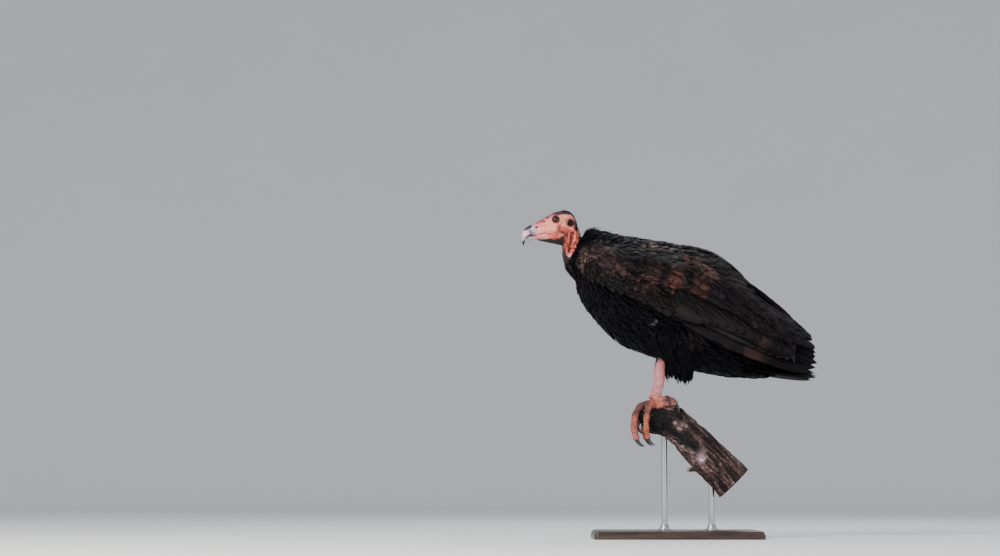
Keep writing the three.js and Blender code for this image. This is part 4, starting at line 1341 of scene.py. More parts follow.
@dataclass
class Head:
    """The bare head and neck: its skin with folds and lappets, its lids, eyes, bill and bristles."""

    finishes: Finishes
    marks: Markings
    eye_x: float = -285.8
    eye_y: float = 18.6
    eye_z: float = 760.4
    eye_radius: float = 9.2
    lid_radius: float = 10.0
    lid_edge: float = 10.4
    opening: float = 6.5
    eye_turn: float = math.radians(9)
    lappet_span: tuple[float, float] = (733.0, 670.5)
    lappet_out: float = 24.0
    lappet_deep: float = 8.0
    lappet_middle: tuple[float, ...] = (-245.5, -246.5, -248.5, -251.5, -253.0, -253.5)
    lappet_half: tuple[float, ...] = (11.0, 15.5, 16.8, 16.2, 12.2, 2.5)
    ear: tuple[float, float] = (-250.5, 751.5)
    nostril: tuple[float, float] = (-332.0, 743.2)

    def folds(self) -> tuple[Fold, ...]:
        """The folds and creases of each side of the face, from the brow to the throat."""
        return (
            Fold([[-322, 761], [-306, 768.5], [-292, 776], [-277, 777], [-265, 770]], 4.2, 2.2),
            Fold([[-338, 753], [-322, 757.5], [-306, 764]], 2.6, 0.7),
            Fold([[-303, 762], [-299, 752], [-290, 746.5], [-279, 748], [-270, 757]], 2.6, 1.2),
            Fold([[-308, 757], [-303, 746], [-292, 740], [-279, 741], [-268, 748]], 2.2, -0.8),
            Fold([[-345, 722.5], [-331, 723.5], [-318, 726.5], [-309, 727.5], [-300, 724], [-294, 718]], 1.7, -2.2),
            Fold([[-334, 728.5], [-322, 731], [-308, 732.5], [-298, 729]], 2.3, 0.9),
            Fold([[-334, 718.5], [-320, 720.5], [-308, 722], [-302, 718]], 2.1, 0.9),
            Fold([[-300, 731], [-290, 724], [-281, 721], [-272, 724]], 4.0, 1.4),
            Fold([[-284, 744], [-277, 738], [-270, 730], [-268, 722]], 2.2, -1.9),
            Fold([[-276, 735], [-266, 728], [-262, 717], [-262, 706]], 2.6, 1.3),
            Fold([[-273, 748], [-262, 744], [-250, 740], [-245.5, 734], [-247.5, 725]], 3.0, 2.8),
            Fold([[-268, 742], [-256, 736], [-252, 729]], 1.8, -1.4),
            Fold([[-264, 764], [-258, 768], [-248, 766], [-241.5, 757], [-243, 746]], 2.6, 1.6),
            Fold([[-262, 760], [-263.5, 752], [-261, 745], [-254, 741]], 2.2, 1.3),
            Fold([[-238, 748], [-241, 738], [-240, 726]], 2.0, 1.0),
            Fold([[-304, 712], [-290, 708], [-279, 702], [-272, 688], [-270, 670]], 2.4, 1.5),
            Fold([[-298, 718], [-284, 713], [-274, 706], [-268, 694]], 2.2, -1.0),
            Fold([[-248.5, 731], [-249.5, 712], [-252.5, 690], [-253, 680]], 1.9, -3.4),
            Fold([[-258, 730], [-261, 712], [-262, 695], [-257, 679]], 3.4, 2.4),
            Fold([[-239, 728], [-238, 712], [-241, 696], [-249, 679]], 3.6, 2.6))

    def lappet_shape(self, z: Array) -> tuple[Array, Array]:
        """The lappet in side view: its middle and half its length at each height."""
        top, foot = self.lappet_span
        t = (top - z) / (top - foot)
        return rail(self.lappet_middle, t), np.maximum(rail(self.lappet_half, t), 0.3)

    def lappet_shell(self, side: int) -> Shell:
        """One lappet: a hanging leaf of skin, full at its middle and pointed at its foot."""
        level, turn = grid(np.linspace(*self.lappet_span, 44), 40)
        middle, half = self.lappet_shape(level)
        lobe = 1 + 0.04 * np.cos(5 * turn + level / 9)
        deep = self.lappet_deep * np.sqrt(np.clip(half / 16, 0, 1))
        return Shell.loft(np.stack([middle + half * lobe * np.cos(turn),
                                    side * (self.lappet_out + deep * lobe * np.sin(turn)), level], -1))

    def shells(self) -> list[Shell]:
        """The closed forms that are fused in the head's skin."""
        folds = []
        for side in SIDES.values():
            folds.append(self.lappet_shell(side))
            folds.append(tube([[-268, side * 23, 744], [-256, side * 27, 741], [-247, side * 27, 735],
                               [-247, side * 27, 722], [-250, side * 27, 712]],
                              lambda t: 2.2 + 2.2 * np.sin(math.pi * t) ** 0.7))
            folds.append(tube([[-233, side * 15, 742], [-232, side * 20, 728], [-232, side * 22, 712],
                               [-231, side * 20, 692], [-229, side * 16, 672]],
                              lambda t: 1.5 + 2.6 * np.sin(math.pi * t)))
            folds.append(tube([[-266, side * 9, 706], [-266, side * 9.5, 690], [-265, side * 10, 672],
                               [-259, side * 10, 650]], lambda t: 1.5 + 2.4 * np.sin(math.pi * t)))
        front = HEAD.rings(60, 72)
        front[0] = front[0].mean(0) + (front[0] - front[0].mean(0)) * 0.86
        return [Shell.loft(front), Shell.loft(NECK.rings(44, 64, span=(0.0, 1.05))), *folds]

    def sculpt(self, item: Object) -> None:
        """Works the folds, sockets, openings and wrinkles into the fused skin."""
        place, normal = places(item), outward(item)
        x, y, z = place.T
        lift = sum(fold.lift(place) for fold in self.folds())
        face = ease(np.abs(y), 3, 10)
        lift = lift * np.where(z > 700, face, 0.6 + 0.4 * face)
        eye = np.hypot(x - self.eye_x, z - self.eye_z)
        lift += 1.5 * bell((eye - 12.5) / 3.6) * face - 1.6 * bell(eye / 8.5) * face
        lift -= 2.0 * bell(np.hypot((x + 310) / 10, (z - 748) / 8)) * face
        lift += 1.7 * bell(np.hypot((x + 284) / 13, (z - 727) / 9)) * face
        ear = np.hypot((x - self.ear[0]) / 1.15, z - self.ear[1])
        lift += (1.2 * bell((ear - 8.0) / 1.9) - 5.0 * bell(ear / 4.4)) * face
        hole = np.hypot((x - self.nostril[0]) / 1.5, z - self.nostril[1])
        lift += (0.7 * bell((hole - 3.0) / 1.2) - 3.0 * bell(hole / 1.7)) * ease(np.abs(y), 4, 8)
        # the nape and the neck are ringed with soft rolls, and the crown carries shallow furrows
        nape = ease(x - (z - 700) * 0.05, -268, -246) * ease(752 - z, 0, 14) * ease(z, 640, 660)
        lift += nape * 0.9 * np.sin(z / 1.15 + 1.3 * noise(place, 14, 7) + 0.12 * x)
        crown = ease(z, 764, 772)
        lift += crown * 0.55 * np.sin(y / 0.95 + 1.6 * noise(place, 12, 9))
        lap = self.on_lappet(place)
        lift += lap * (0.9 * self.pleats(place) + 1.1 * cloud(place, 7, 15, 3))
        rest = ease(z, 640, 665) * (1 - 0.6 * bell(eye / 10))
        lift += rest * (0.34 * cloud(place, 5.5, 21, 3) + 0.22 * cloud(place, 14, 25, 2))
        move_to(item, place + normal * lift[:, None])

    @staticmethod
    def pleats(place: Array) -> Array:
        """The upright wrinkles of a lappet, -1 to 1."""
        return np.sin(place[:, 0] / 1.9 - place[:, 2] / 11 + 3.0 * noise(place, 12, 12))

    def on_lappet(self, place: Array) -> Array:
        """How surely each point is on a lappet, 0 to 1."""
        x, y, z = place.T
        middle, half = self.lappet_shape(z)
        inside = ease(1.14 - np.abs(x - middle) / (half + 1.0), 0, 0.16)
        return inside * ease(z, 667, 672) * ease(737 - z, 0, 8) * ease(np.abs(y), 13, 19)

    @staticmethod
    def face_marks() -> tuple[Mark, ...]:
        """The patches of the bare face, from the cheek and the brow back to the ear and the nape."""
        cream, pink = (0.96, 0.365, 0.25), (0.9, 0.3, 0.26)
        return tuple(Mark(*row) for row in (
            (-315, 741, 22, 13, (0.96, 0.305, 0.27), 0.85),
            (-300, 752, 15, 18, cream, 0.85, 0.2),
            (-291, 743, 16, 7, cream, 0.7, -0.3),
            (-266, 767, 11, 12, (0.84, 0.32, 0.25), 0.8),
            (-268, 757, 8, 8, (0.76, 0.36, 0.2), 0.6),
            (-331, 733, 12, 9, (0.86, 0.4, 0.44), 0.8),
            (-338, 738, 8, 13, (0.42, 0.32, 0.5), 0.75),
            (-304, 770, 24, 6, (0.6, 0.165, 0.23), 0.85, 0.5),
            (-316, 757.5, 4.8, 4.4, (0.14, 0.035, 0.028), 0.9),
            (-307, 767, 5.5, 4, (0.1, 0.028, 0.038), 0.85),
            (-324, 757, 12, 3.5, (0.24, 0.07, 0.11), 0.75, 0.45),
            (-297, 776, 16, 4.5, (0.15, 0.045, 0.06), 0.75, 0.35),
            (-313, 727, 12, 5, (0.72, 0.26, 0.19), 0.7),
            (-318, 719, 18, 6, (0.84, 0.38, 0.34), 0.7),
            (-291, 725, 13, 7, (0.7, 0.13, 0.095), 0.8),
            (-301, 733, 8, 4, (0.78, 0.28, 0.2), 0.6),
            (-277, 737, 6.5, 8, (0.13, 0.04, 0.022), 0.9),
            (-284, 727, 5, 6, (0.26, 0.045, 0.03), 0.7),
            (-263, 735, 14, 5.5, (0.52, 0.07, 0.045), 0.9, -0.3),
            # painted shadow under the red fold above it
            (-266, 727, 11, 5, (0.085, 0.012, 0.012), 0.9, -0.4),
            (-259, 743, 14, 3.2, pink, 0.9, -0.35),
            (-246.5, 732, 3.4, 8, pink, 0.85),
            (-256, 755, 9.5, 10, (0.3, 0.11, 0.05), 0.8),
            (-250.5, 752, 9.5, 10, (0.013, 0.007, 0.009), 0.97, 0.0, 0.2),
            (-256, 769, 9, 5, (0.76, 0.28, 0.26), 0.8),
            (-243, 768, 5, 7, (0.46, 0.26, 0.14), 0.7),
            (-252, 780, 22, 8, (0.034, 0.018, 0.022), 0.9),
            (-236, 756, 6, 26, (0.05, 0.014, 0.02), 0.9)))

    def colours(self, place: Array) -> tuple[Array, Array]:
        """The head and neck's colours, and how much each point shows bare living skin."""
        x, y, z = place.T
        salmon = (0.72, 0.175, 0.13)
        colour = marked(place, salmon, self.face_marks())
        # the crown and the back of the head lie under dark fuzz; throat and neck are black, reddish in front
        crown = ease(z - 0.25 * x + 2 * noise(place, 9, 27), 836, 845) * ease(x, -304, -282)
        jaw = rail([[-342, 715], [-322, 717.5], [-300, 718], [-284, 718.5], [-274, 721], [-264, 726]],
                   np.linspace(0, 1, 40))
        edge = np.interp(x, jaw[:, 0], jaw[:, 1], left=715, right=726) + 1.6 * cloud(place, 7, 31, 2)
        front = ease(-x, 256, 264) * ease(676 - z, 0, 8) * ease(z, 642, 652)
        nape = ease(x, -245, -236) * ease(752 - z, 0, 8)
        back = np.maximum(ease(x, -242, -233) * ease(738 - z, 0, 10), ease(728 - z, 0, 8) * ease(x, -270, -262))
        coat = ease(650 - z + 3 * noise(place, 9, 4), 0, 14)
        colour = layered(
            colour, ((0.016, 0.012, 0.019), 0.985 * crown), ((0.011, 0.007, 0.009), 0.995 * ease(edge - z, 0, 5)),
            ((0.13, 0.014, 0.024), 0.45 * front), ((0.11, 0.04, 0.03), 0.7 * nape),
            ((0.018, 0.008, 0.01), 0.99 * back), (self.marks.black, 0.995 * coat))
        # lappets: orange-red, with painted shade in the troughs of their pleats and along their middle crease, rosy
        # in front and at the foot
        deep = (0.15, 0.016, 0.013)
        middle, half = self.lappet_shape(z)
        crease = bell((x + 251.5 + 0.1 * (710 - z)) / 4.2) * ease(z, 676, 688)
        lobe = layered(
            np.array((0.52, 0.08, 0.038)), ((0.74, 0.215, 0.115), 0.5 + 0.5 * noise(place, 8, 17)),
            ((0.42, 0.095, 0.085), 0.6 * ease(middle - 5 - x, 0, 7)),
            ((0.9, 0.25, 0.16), 0.6 * ease(x - middle - 2, 0, 6)),
            (deep, 0.75 * ease(-self.pleats(place), 0.0, 0.9)), ((0.12, 0.012, 0.01), 0.9 * crease),
            ((0.8, 0.3, 0.29), 0.7 * ease(684 - z + 3 * noise(place, 6, 19), 0, 8)),
            ((0.12, 0.014, 0.014), 0.85 * ease(noise(place, 5, 23) - 0.15, 0, 0.3)),
            ((0.8, 0.56, 0.5), 0.7 * ease(675.5 - z, 0, 2.5)),
            (deep, 0.7 * ease(np.abs(x - middle) / half, 0.78, 1.0)))
        # the dark ring of the lids, and painted shade in the nostril and along the mouth's line
        eye = np.hypot(x - self.eye_x, z - self.eye_z)
        hole = np.hypot((x - self.nostril[0]) / 1.5, z - self.nostril[1])
        gape_shade = Fold([[-345, 722.5], [-331, 723.5], [-318, 726.5], [-309, 727.5], [-300, 724]], 1.2, 1.0).lift(place)
        colour = layered(
            colour, (lobe, self.on_lappet(place)),
            ((0.03, 0.012, 0.01), 0.9 * ease(10.8 - eye, 0, 2.0) * ease(np.abs(y), 8, 14)),
            ((0.008, 0.004, 0.005), 0.97 * ease(3.0 - hole, 0, 1.2)),
            ((0.1, 0.03, 0.03), 0.75 * np.clip(gape_shade, 0, 1)))
        return colour, ease(z, 652, 662) * ease(colour.max(1), 0.06, 0.4)

    def lids(self, word: str, side: int) -> Object:
        """Two dark lids as one ring round the eye: they hug the eyeball from the opening out to the skin."""
        turn, k = np.meshgrid(turns(72), np.linspace(0, 1, 9), indexing="ij")
        wide = self.opening * (1.03 + 0.11 * np.cos(2 * turn) - 0.1 * np.maximum(np.sin(turn), 0))
        radius = wide + (self.lid_edge - wide) * k
        ridge = 0.35 * np.sin(k * math.tau * 1.6) * (1 - k) + 0.08 * np.sin(turn * 30) * bell((k - 0.4) / 0.3)
        top = np.sqrt(np.maximum(self.lid_radius**2 - radius**2, 0)) + ridge + 1.4 * ease(k, 0.75, 1.0) - 0.9 * k
        inner = np.sqrt(np.maximum((self.lid_radius - 1.1) ** 2 - radius**2, 0)) - 0.3
        loop = np.concatenate([top, inner[:, ::-1]], 1)
        r2 = np.concatenate([radius, radius[:, ::-1]], 1)
        t2 = np.concatenate([turn, turn[:, ::-1]], 1)
        points = np.stack([self.eye_x + r2 * np.cos(t2), side * (self.eye_y + loop),
                           self.eye_z + r2 * np.sin(t2)], -1)
        rows, columns = points.shape[:2]
        at = np.arange(rows * columns).reshape(rows, columns)
        on, over = np.roll(at, -1, 0), np.roll(at, -1, 1)
        quads = np.stack([at, on, np.roll(on, -1, 1), over], -1).reshape(-1, 4)
        shell = Shell(points.reshape(-1, 3), quads)
        shell = shell if shell.volume() > 0 else shell.turned()
        item = add_object(f"lids_{word}", shell, self.finishes[Finish.SKIN])
        depth = np.concatenate([k, k[:, ::-1]], 1).reshape(-1, 1)
        tone = np.array((0.012, 0.007, 0.007)) + (np.array((0.05, 0.018, 0.016)) - (0.012, 0.007, 0.007)) * depth**2
        paint(item, "Marking", tone, 0.25)
        return item

    def eye(self, word: str, side: int) -> Object:
        """An eyeball with a slight swell over the iris, turned a little forward."""
        tilt, turn = grid(np.linspace(0.04, math.pi - 0.04, 36), 64)
        radius = self.eye_radius * (1 + 0.035 * bell(tilt / 0.55))
        out = radius * np.cos(tilt)
        flat = radius * np.sin(tilt)
        x, c, s = flat * np.cos(turn), math.cos(self.eye_turn), math.sin(self.eye_turn)
        points = np.stack([self.eye_x + x * c - out * s, side * (self.eye_y + out * c + x * s),
                           self.eye_z + flat * np.sin(turn)], -1)
        item = add_object(f"eyeball_{word}", Shell.loft(points), self.finishes[Finish.EYE])
        polar = np.stack([turn / math.tau, tilt / math.pi], -1).reshape(-1, 2)
        unwrap(item, "Iris", np.vstack([polar, [[0.0, 0.0], [0.0, 1.0]]]))
        return item

    def bill(self) -> tuple[Object, Object]:
        """The hooked upper bill and the lower bill, with their colours."""
        along, turn = grid(np.linspace(0.015, 1, 90), 72)
        points = BILL_UPPER.at(along, turn)
        up, out = np.sin(turn), np.cos(turn)
        keel = 1 - 0.12 * ease(up, 0.3, 0.95) * (1 - 0.8 * ease(up, 0.93, 1.0))
        points[..., 1] *= keel * (1 - 0.1 * ease(-up, 0.55, 1))
        step = 0.7 * ease(along, 0.14, 0.19) - 0.7
        points[..., 1] -= np.sign(out) * step * np.abs(out) * 0.8
        points[..., 2] += 0.5 * bell((along - 0.3) / 0.05) * ease(-up, 0.2, 0.8) - step * 0.5 * np.maximum(up, 0)
        upper = add_object("bill_top", Shell.loft(points), self.finishes[Finish.BILL])
        along, turn = grid(np.linspace(-0.12, 1, 50), 56)
        lower_points = BILL_LOWER.at(along, turn)
        lower_points[..., 2] -= 0.6 * bell((along - 0.55) / 0.2) * ease(np.sin(turn), 0.2, 1)
        lower = add_object("bill_bottom", Shell.loft(lower_points), self.finishes[Finish.BILL])
        # the last upper zone and the last lower mark are painted shade in the gap between the two bills
        zones = (Mark(-336, 738, 8, 16, (0.6, 0.47, 0.56), 0.85),
                 Mark(-345, 731, 5, 5, (0.12, 0.1, 0.14), 0.6, ragged=0.9),
                 Mark(-359, 729, 9, 7, (0.88, 0.52, 0.52), 0.9, 0.4),
                 Mark(-363, 717, 5, 6, (0.58, 0.46, 0.46), 0.8),
                 Mark(-344, 724, 9, 1.8, (0.04, 0.02, 0.022), 0.85))
        under = (Mark(-331, 717, 9, 9, (0.7, 0.3, 0.26), 0.9),
                 Mark(-345, 722, 14, 2.2, (0.1, 0.06, 0.06), 0.8))
        for item, base, marks in ((upper, (0.2, 0.165, 0.235), zones), (lower, (0.36, 0.31, 0.3), under)):
            place = places(item)
            x, _, z = place.T
            colour = marked(place, base, marks)
            if item is upper:
                culmen = ease(z - 0.38 * (x + 368), 731.5, 735.0) * ease(-x, 341, 346)
                colour = layered(colour, ((0.01, 0.017, 0.048), 0.96 * culmen))
            hook = ease(713.5 - z + 0.2 * (x + 362), 0, 4) * ease(-x, 355, 360)
            paint(item, "Marking", layered(colour, ((0.014, 0.014, 0.02), 0.95 * hook)))
        return upper, lower

    def bristles(self) -> Coat:
        """Sparse dark bristles on the crown and nape, between bill and eye, and under the chin."""
        coat = Coat("bristles", Finish.BRISTLE, 101)
        tint = Tint(lambda place: np.broadcast_to(np.array((0.02, 0.014, 0.012)), place.shape), share=0.0)
        for side in SIDES.values():
            skull = Flank(HEAD, side, (0.42 if side < 0 else 0.49, 0.5, 0.06, 0.2))
            neck = Flank(NECK, side, (0.42 if side < 0 else 0.49, 0.72, 0.06, 0.2))
            for surface, u_span, v_span, pitch, size, stand in (
                    (skull, (0.42, 0.97), (0.0, 0.16), 1.45, 4.8, 1.5),
                    (skull, (0.62, 0.98), (0.13, 0.42), 2.2, 3.8, 1.0),
                    (skull, (0.1, 0.4), (0.0, 0.1), 3.4, 3.2, 1.2),
                    (skull, (0.05, 0.3), (0.15, 0.45), 5.5, 1.8, 0.8),
                    (skull, (0.04, 0.95), (0.82, 1.0), 2.4, 4.4, 1.8),
                    (skull, (0.55, 0.8), (0.5, 0.8), 4.5, 2.6, 0.9),
                    (neck, (0.0, 0.55), (0.0, 0.35), 2.8, 4.0, 1.3),
                    (neck, (0.0, 0.6), (0.62, 1.0), 2.7, 5.0, 1.6)):
                u, v = coat.rows(surface, u_span, v_span, (pitch, pitch), 0.5)
                coat.add(surface, u, v, size * coat.within(u, 0.6, 1.3), 0.42, BRISTLE_CUT, tint,
                         heading=coat.vary(u, 0.4), sink=1.2, rise=stand * coat.within(u, 0.5, 1.3), lift=1.0)
        return coat

    def build(self) -> None:
        """Builds the pieces of the head that stay apart from the skin."""
        for word, side in SIDES.items():
            dress(self.eye(word, side), "eye", f"eye_{word}")
            dress(self.lids(word, side), "bare_skin")
        upper, lower = self.bill()
        dress(upper, "bill", "bill_upper")
        dress(lower, "bill", "bill_lower")
        dress(self.bristles().build(self.finishes), "plumage")


@dataclass
class Legs:
    """Shanks and feet: skin with scutes, and eight hooked claws."""

    finishes: Finishes
    heel: tuple[float, float, float] = (-29.0, 43.0, 436.0)
    foot: tuple[float, float, float] = (-51.0, 29.0, 325.0)
    shank_radii: tuple[float, float, float] = (14.0, 10.8, 12.5)
    flatten: float = 0.78
    claw_length: float = 28.0
    claw_radius: float = 3.8
    claw_bend: float = math.radians(62)
    toes: dict[str, tuple[Points, float]] = field(default_factory=lambda: {
        "inner": ([[0, 0, 0], [-20, -12, -5], [-35, -17, -11], [-42, -19, -33], [-41, -18, -58]], 7.3),
        "middle": ([[0, 0, 0], [-19, 0, -6.5], [-35, 1, -13.5], [-46, 2, -33], [-49, 2, -62], [-43, 1, -90]], 7.8),
        "outer": ([[0, 0, 0], [-10, 13, -5], [-18, 23, -16], [-22, 26, -40], [-23, 26, -64], [-18, 22, -88]], 7.6),
        "hind": ([[0, 0, -1], [14, 2, 3], [28, 3, 6], [41, 3, 1], [50, 3, -7]], 8.6)})

    def toe_path(self, toe: str, side: int) -> Array:
        """A toe's joints, placed."""
        steps = np.array(self.toes[toe][0], float) + self.foot
        return steps * (1, side, 1)

    def shank_path(self, side: int) -> Array:
        """The shank's bones, placed, from the heel to the foot."""
        (hx, hy, hz), (fx, fy, fz) = self.heel, self.foot
        bones = np.array([[hx, hy, hz], [hx - 9, hy - 3, hz - 28], [fx + 11, fy + 5, fz + 46], [fx, fy, fz + 7]])
        return bones * (1, side, 1)

    def shells(self, side: int) -> list[Shell]:
        """The closed forms of one leg: the shank, the hub, and toes that swell at their joints."""
        heel, radius, ankle = self.shank_radii
        shank = tube(self.shank_path(side), lambda t: radius + (heel - radius) * bell(t / 0.12)
                     + (ankle - radius) * bell((t - 1) / 0.16), 60, 32, self.flatten)
        shells = [shank]
        hub = np.array(self.foot) * (1, side, 1)
        shells.append(tube([hub + (0, 0, 11), hub + (0, 0, 5), hub + (0, 0, -4), hub + (0, 0, -9)],
                           lambda t: 11.5 * np.sqrt(np.clip(1 - (2 * t - 1) ** 2 * 0.9, 0.05, 1)), 14, 28))
        for pad, size in (([[-16, 0, -11], [-6, 0, -12], [6, 1, -12], [16, 2, -10]], 6.5),
                          ([[6, 1, -6], [18, 2, -7], [32, 3, -7], [44, 3, -9]], 7.5)):
            shells.append(tube(hub + np.array(pad) * (1, side, 1),
                               lambda t, size=size: size * (0.85 + 0.15 * np.cos(t * 19)), 30, 24, 1.25))
        for toe, (path, size) in self.toes.items():
            joints = len(path) - 1
            shells.append(tube(self.toe_path(toe, side), lambda t, size=size, joints=joints: size * (1.06 - 0.2 * t)
                               * (0.93 + 0.09 * np.cos(math.tau * t * joints)), 64, 26))
        return shells

    def scutes(self, place: Array, normal: Array, side: int) -> tuple[Array, Array]:
        """The scutes on the upper sides of the toes and the front of the shank, and the pads below.

        Each point takes the plates of the toe or shank that is nearest in its own widths.

        Args:
            place: the points of the skin.
            normal: the way out of the skin there.
            side: -1 for the left leg, 1 for the right.

        Returns:
            How far each point stands out in millimetres, and how surely it is in a groove between two scutes.
        """
        best, lift, groove = np.full(len(place), 1e9), np.zeros(len(place)), np.zeros(len(place))
        runs = [(self.toe_path(toe, side), size, 5.2, False) for toe, (_, size) in self.toes.items()]
        for path, size, pitch, upright in runs + [(self.shank_path(side), 12.0, 6.0, True)]:
            t = np.linspace(0, 1, 120)
            run = rail(path, t)
            forward = unit(np.gradient(run, axis=0))
            gap = np.linalg.norm(place[:, None] - run[None], axis=-1)
            near = gap.argmin(1)
            dist = gap[np.arange(len(place)), near] / size
            length = np.linalg.norm(np.diff(run, axis=0), axis=1).sum()
            up = unit(np.cross(np.cross(forward, [0.0, 0.0, 1.0]), forward))[near]
            if upright:
                up = np.broadcast_to(np.array([-1.0, 0.0, 0.0]), up.shape)
            steep = ease(np.abs(forward[near][:, 2]), 0.7, 0.95)[:, None]
            front = -1.0 if run[-1, 0] < run[0, 0] + 5 else 1.0
            up = unit(up * (1 - steep) + np.array([front, 0.0, 0.0]) * steep)
            upper = ease(np.sum(normal * up, -1), -0.15, 0.35)
            phase = (t[near] * length / pitch + 0.12 * noise(place, 9, 35)) % 1.0
            plates = upper * (0.85 * phase**1.5 - 1.1 * bell((phase - 1.0) / 0.12) - 0.6 * bell(phase / 0.1))
            lumps = (1 - upper) * 0.6 * np.abs(noise(place, 3.0, 33))
            closer = dist < best
            best = np.where(closer, dist, best)
            lift = np.where(closer, plates + lumps, lift)
            groove = np.where(closer, upper * np.maximum(bell((phase - 1.0) / 0.2), bell(phase / 0.16)), groove)
        return lift, groove

    def sculpt(self, item: Object, side: int) -> None:
        """Works the scutes and pads into the skin of one leg."""
        place, normal = places(item), outward(item)
        lift = self.scutes(place, normal, side)[0] + 0.25 * cloud(place, 5, 37, 2)
        move_to(item, place + normal * lift[:, None])

    def colours(self, place: Array, normal: Array) -> Array:
        """Pink down the shank, dusky at the bends and on the hind toe, orange-pink below, dark in grooves."""
        x, z = place[:, 0], place[:, 2]
        red = 0.7 * ease(x + 0.24 * z, 50, 62)
        bent = ease(-x, 60, 72) * ease(z - 4 * noise(place, 10, 45), 284, 300)
        hind = ease(x, -38, -26) * ease(345 - z, 0, 8)
        worn = ease(cloud(place, 8, 41, 3), -0.05, 0.5)
        dusk = 0.12 + 0.75 * np.maximum(np.maximum(bent, hind), 0.4 * ease(318 - z, 0, 20))
        groove = np.zeros(len(place))
        for side in SIDES.values():
            own = place[:, 1] * side > 0
            groove[own] = self.scutes(place[own], normal[own], side)[1]
        return layered(
            np.array((0.96, 0.405, 0.46)),
            ((0.82, 0.235, 0.155), np.maximum(ease(352 - z + 8 * noise(place, 10, 43), 0, 26), red)),
            ((0.7, 0.19, 0.1), 0.8 * ease(300 - z, 0, 14)),
            ((0.78, 0.27, 0.225), 0.8 * ease(292 - z, 0, 14) * ease(-x, 84, 92)),
            ((0.1, 0.054, 0.052), 0.88 * bent), ((0.3, 0.14, 0.13), 0.85 * hind),
            ((0.03, 0.016, 0.018), worn * dusk),
            ((0.07, 0.022, 0.018), groove * (0.35 + 0.4 * ease(350 - z, 0, 20))))

    def claw(self, toe: str, side: int) -> Shell:
        """A claw that goes on from its toe's end and bends under it, flat-sided and keeled."""
        run = rail(self.toe_path(toe, side), np.array([0.99, 1.0]))
        heading = unit(run[1] - run[0])
        turn_way = 1.0 if toe == "hind" else -1.0
        t = np.linspace(0, 1, 44)
        angle = turn_way * self.claw_bend * t
        go = np.stack([heading[0] * np.cos(angle) + heading[2] * np.sin(angle), np.full(44, heading[1]),
                       heading[2] * np.cos(angle) - heading[0] * np.sin(angle)], -1)
        centre = run[1] - heading * 3 + np.cumsum(go, axis=0) * self.claw_length / 44
        aside = unit(np.array([0.0, 1.0, 0.0]) - go * go[:, 1:2])
        up = np.cross(go, aside)
        radius = self.claw_radius * (1 - t) ** 0.72 + 0.35
        around = turns(28)
        keel = 1 + 0.1 * np.cos(2 * around)
        ring = (aside[:, None] * (0.74 * np.cos(around) * keel)[None, :, None]
                + up[:, None] * np.sin(around)[None, :, None])
        return Shell.loft(centre[:, None] + ring * radius[:, None, None])

    def build(self) -> None:
        """Builds the claws."""
        for word, side in SIDES.items():
            for toe in self.toes:
                item = add_object(f"talon_{toe}_{word}", self.claw(toe, side), self.finishes[Finish.CLAW])
                dress(item, "horn", f"claw_{toe}_{word}")


